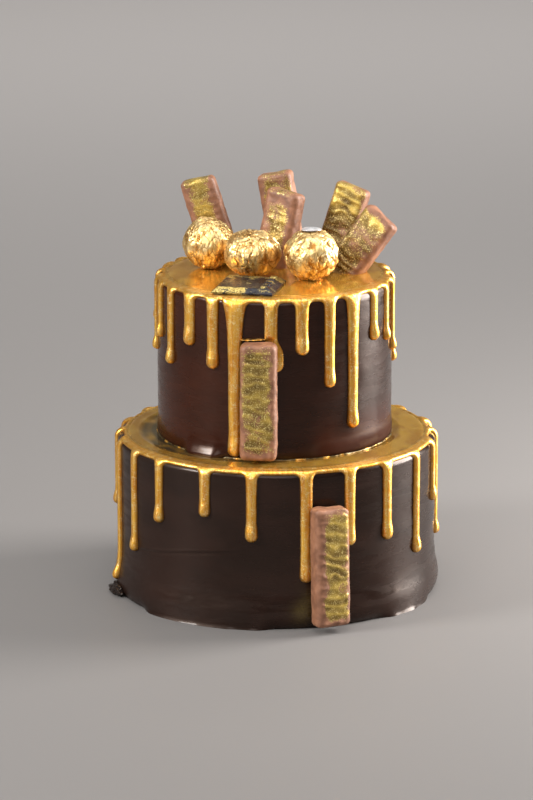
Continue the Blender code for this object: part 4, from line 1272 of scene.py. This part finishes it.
def add_sticker():
    """Blank oval sticker: a disc of rings that follows the top of the right ball, closed below."""
    ball = BALLS[-1]
    turn = np.arange(STICKER_SIDES) * 2.0 * math.pi / STICKER_SIDES
    part, lift = np.array(STICKER_RINGS).T[..., None]
    x = 0.5 * STICKER_LENGTH * part * np.cos(turn)
    y = 0.5 * STICKER_WIDTH * part * np.sin(turn)
    rest = np.clip(1.0 - (x * x + y * y) / ball.radius ** 2, 0.0, 1.0)
    z = ball.half_height * (1.0 + np.sqrt(rest)) - BALL_FLAT + STICKER_LIFT + lift * STICKER_THICKNESS
    z = z + 0.00012 * soft_noise(vectors(x, y, 0.0), 0.004, 91)
    rings = vectors(x + ball.x, y + ball.y, z + BALL_REST_Z)
    points = joined(rings.reshape(-1, 3), rings[[0, -1]].mean(1))
    rim = np.append(np.repeat(part, STICKER_SIDES), (0.0, 0.0))
    faces = capped_faces(len(STICKER_RINGS), STICKER_SIDES)
    add_piece("blank_sticker", points, faces, "sticker_paper", ["ball_sticker"], {"rim": rim})


def square_top(x, y, half, rear):
    """Height of the chocolate square, and its flat top from -half to half and from -rear to rear.

    It rises with the distance to the nearest side, up to the flat top, and a row of small rounded
    blocks stands along the right side.
    """
    inset = np.minimum(half - np.abs(x), rear - np.abs(y)) + SQUARE_BEVEL
    place = vectors(x, y, 0.0)
    chip = 0.00012 * soft_noise(place, 0.0011, 101) + 0.00010 * soft_noise(place, 0.004, 102)
    z = SQUARE_LIP + (SQUARE_HEIGHT - SQUARE_LIP) * np.clip(inset / SQUARE_BEVEL, 0.0, 1.0)
    block_x = (x - (half - 0.5 * BLOCK_FIELD)) / (0.5 * BLOCK_FIELD - 0.0004)
    pitch = 2.0 * rear / BLOCK_COUNT
    block_y = (np.mod(y + rear, pitch) / pitch - 0.5) * 2.0
    pad = ease((1.0 - np.abs(block_x)) / 0.28) * ease((0.86 - np.abs(block_y)) / 0.26)
    return z + BLOCK_HEIGHT * pad * (np.abs(y) < rear) + chip * ease(inset / 0.0004)


def square_dust(local, half, rear):
    """Share of gold dust on the square: along its front, back and left, on the blocks, in streaks."""
    x, y = local.T[:2]
    front = ease((-y / rear - 0.90) / 0.1) * (0.15 + 0.70 * ease((0.010 - x) / 0.016))
    blocks = ease((x - half + BLOCK_FIELD) / 0.001) * (np.abs(y) < rear)
    back = ease((y - 0.004) / 0.010)
    left = ease((-0.004 - x) / 0.010) * ease((y + 0.010) / 0.01)
    streaks = soft_noise(local * np.array((0.45, 1.0, 1.0)), 0.0026, 103)
    cover = 0.02 + 0.80 * front + 0.20 * blocks + 0.28 * back + 0.24 * left + 0.50 * streaks
    return np.clip(cover, 0.0, 1.0)


def add_square():
    """Chocolate square: a height for each place of a grid, closed by upright sides and a base."""
    side = np.linspace(-1.0, 1.0, SQUARE_CELLS)
    x, y = np.meshgrid(0.5 * SQUARE_WIDTH * side, 0.5 * SQUARE_LENGTH * side)
    half = 0.5 * SQUARE_WIDTH - SQUARE_BEVEL
    rear = 0.5 * SQUARE_LENGTH - SQUARE_BEVEL
    top = vectors(x, y, square_top(x, y, half, rear)).reshape(-1, 3)
    ids = np.arange(SQUARE_CELLS ** 2).reshape(SQUARE_CELLS, SQUARE_CELLS)
    border = joined(ids[0, :-1], ids[:-1, -1], ids[-1, :0:-1], ids[:0:-1, 0])
    local = joined(top, top[border] * np.array((1.0, 1.0, 0.0)), [(0.0, 0.0, 0.0)])
    low = len(top) + np.arange(len(border))
    quads = [grid_quads(ids), grid_quads(np.stack([border, low]), True)]
    faces = [np.concatenate(quads), fan_triangles(low, len(local) - 1)]
    place = Matrix.Translation((SQUARE_X, SQUARE_Y, BALL_REST_Z)) @ turn_matrix(SQUARE_TURN, "Z")
    values = {"local": local, "cover": square_dust(local, half, rear)}
    points = placed(local, place)
    add_piece("dusted_square", points, faces, "square_chocolate", ["chocolate_square"], values, 35.0)


def add_sheet(name, low, high, finish):
    """Flat sheet of the room, which isn't part of the cake, between the y and z of two edges."""
    mesh = bpy.data.meshes.new(name)
    corners = [(-ROOM_HALF, *low), (ROOM_HALF, *low), (ROOM_HALF, *high), (-ROOM_HALF, *high)]
    mesh.from_pydata(corners, [], [(0, 1, 2, 3)])
    mesh.materials.append(FINISHES[finish])
    sheet = bpy.data.objects.new(name, mesh)
    bpy.context.scene.collection.objects.link(sheet)
    return sheet


def add_room():
    """Plain floor that runs far behind the cake, and a paler backdrop that only the gold mirrors."""
    plain_material("pale_grey", (0.166, 0.158, 0.154))
    plain_material("pale_backdrop", (0.300, 0.285, 0.275))
    add_sheet("floor", (-ROOM_HALF, FLOOR_Z), (ROOM_HALF, FLOOR_Z), "pale_grey")
    card = add_sheet("backdrop", (BACKDROP_Y, FLOOR_Z), (BACKDROP_Y, BACKDROP_TOP), "pale_backdrop")
    card.visible_camera = False


def add_softbox(light):
    """Rectangular studio light that faces a target and shines within an angle."""
    lamp = bpy.data.lights.new(light.name, "AREA")
    lamp.shape = "RECTANGLE"
    lamp.size = light.width
    lamp.size_y = light.height
    lamp.energy = light.power
    lamp.color = light.colour
    lamp.spread = math.radians(light.spread)
    item = bpy.data.objects.new(light.name, lamp)
    bpy.context.scene.collection.objects.link(item)
    aim = (Vector(light.target) - Vector(light.place)).to_track_quat("-Z", "Y")
    item.matrix_world = Matrix.Translation(light.place) @ aim.to_matrix().to_4x4()
    item.visible_camera = False


def add_lights():
    """Soft studio light: a wide panel behind the right, a key at the left, and three fills."""
    for light in LIGHTS:
        add_softbox(light)
    world = bpy.data.worlds.new("room")
    bpy.context.scene.world = world
    world.use_nodes = True
    background = world.node_tree.nodes["Background"]
    background.inputs["Color"].default_value = (0.42, 0.405, 0.395, 1.0)
    background.inputs["Strength"].default_value = 0.42


def add_camera():
    """Camera at the angle and distance of the photograph."""
    lens = bpy.data.cameras.new("camera")
    lens.lens = CAMERA_LENS
    lens.clip_start = 0.05
    lens.clip_end = 50.0
    camera = bpy.data.objects.new("camera", lens)
    bpy.context.scene.collection.objects.link(camera)
    camera.location = CAMERA_PLACE
    camera.rotation_euler = (0.5 * math.pi - CAMERA_PITCH, 0.0, 0.0)
    bpy.context.scene.camera = camera


def main():
    """Dress the whole cake."""
    pearl = pearl_group()
    dusting = dusting_group()
    relief = relief_group()
    icing_material(relief)
    gold_material(pearl, relief)
    bar_material(dusting, relief)
    foil_material(relief)
    sticker_material()
    square_material(dusting, relief)
    add_tier("lower_tier", LOWER, lower_relief, lower_tint)
    add_tier("upper_tier", UPPER, upper_relief, upper_tint)
    add_crag()
    add_gold()
    add_gold_trails()
    add_bars()
    for k, ball in enumerate(BALLS):
        add_ball(ball, 200 + 13 * k)
    add_sticker()
    add_square()
    add_room()
    add_lights()
    add_camera()
    bpy.context.scene.view_settings.view_transform = "Standard"


main()
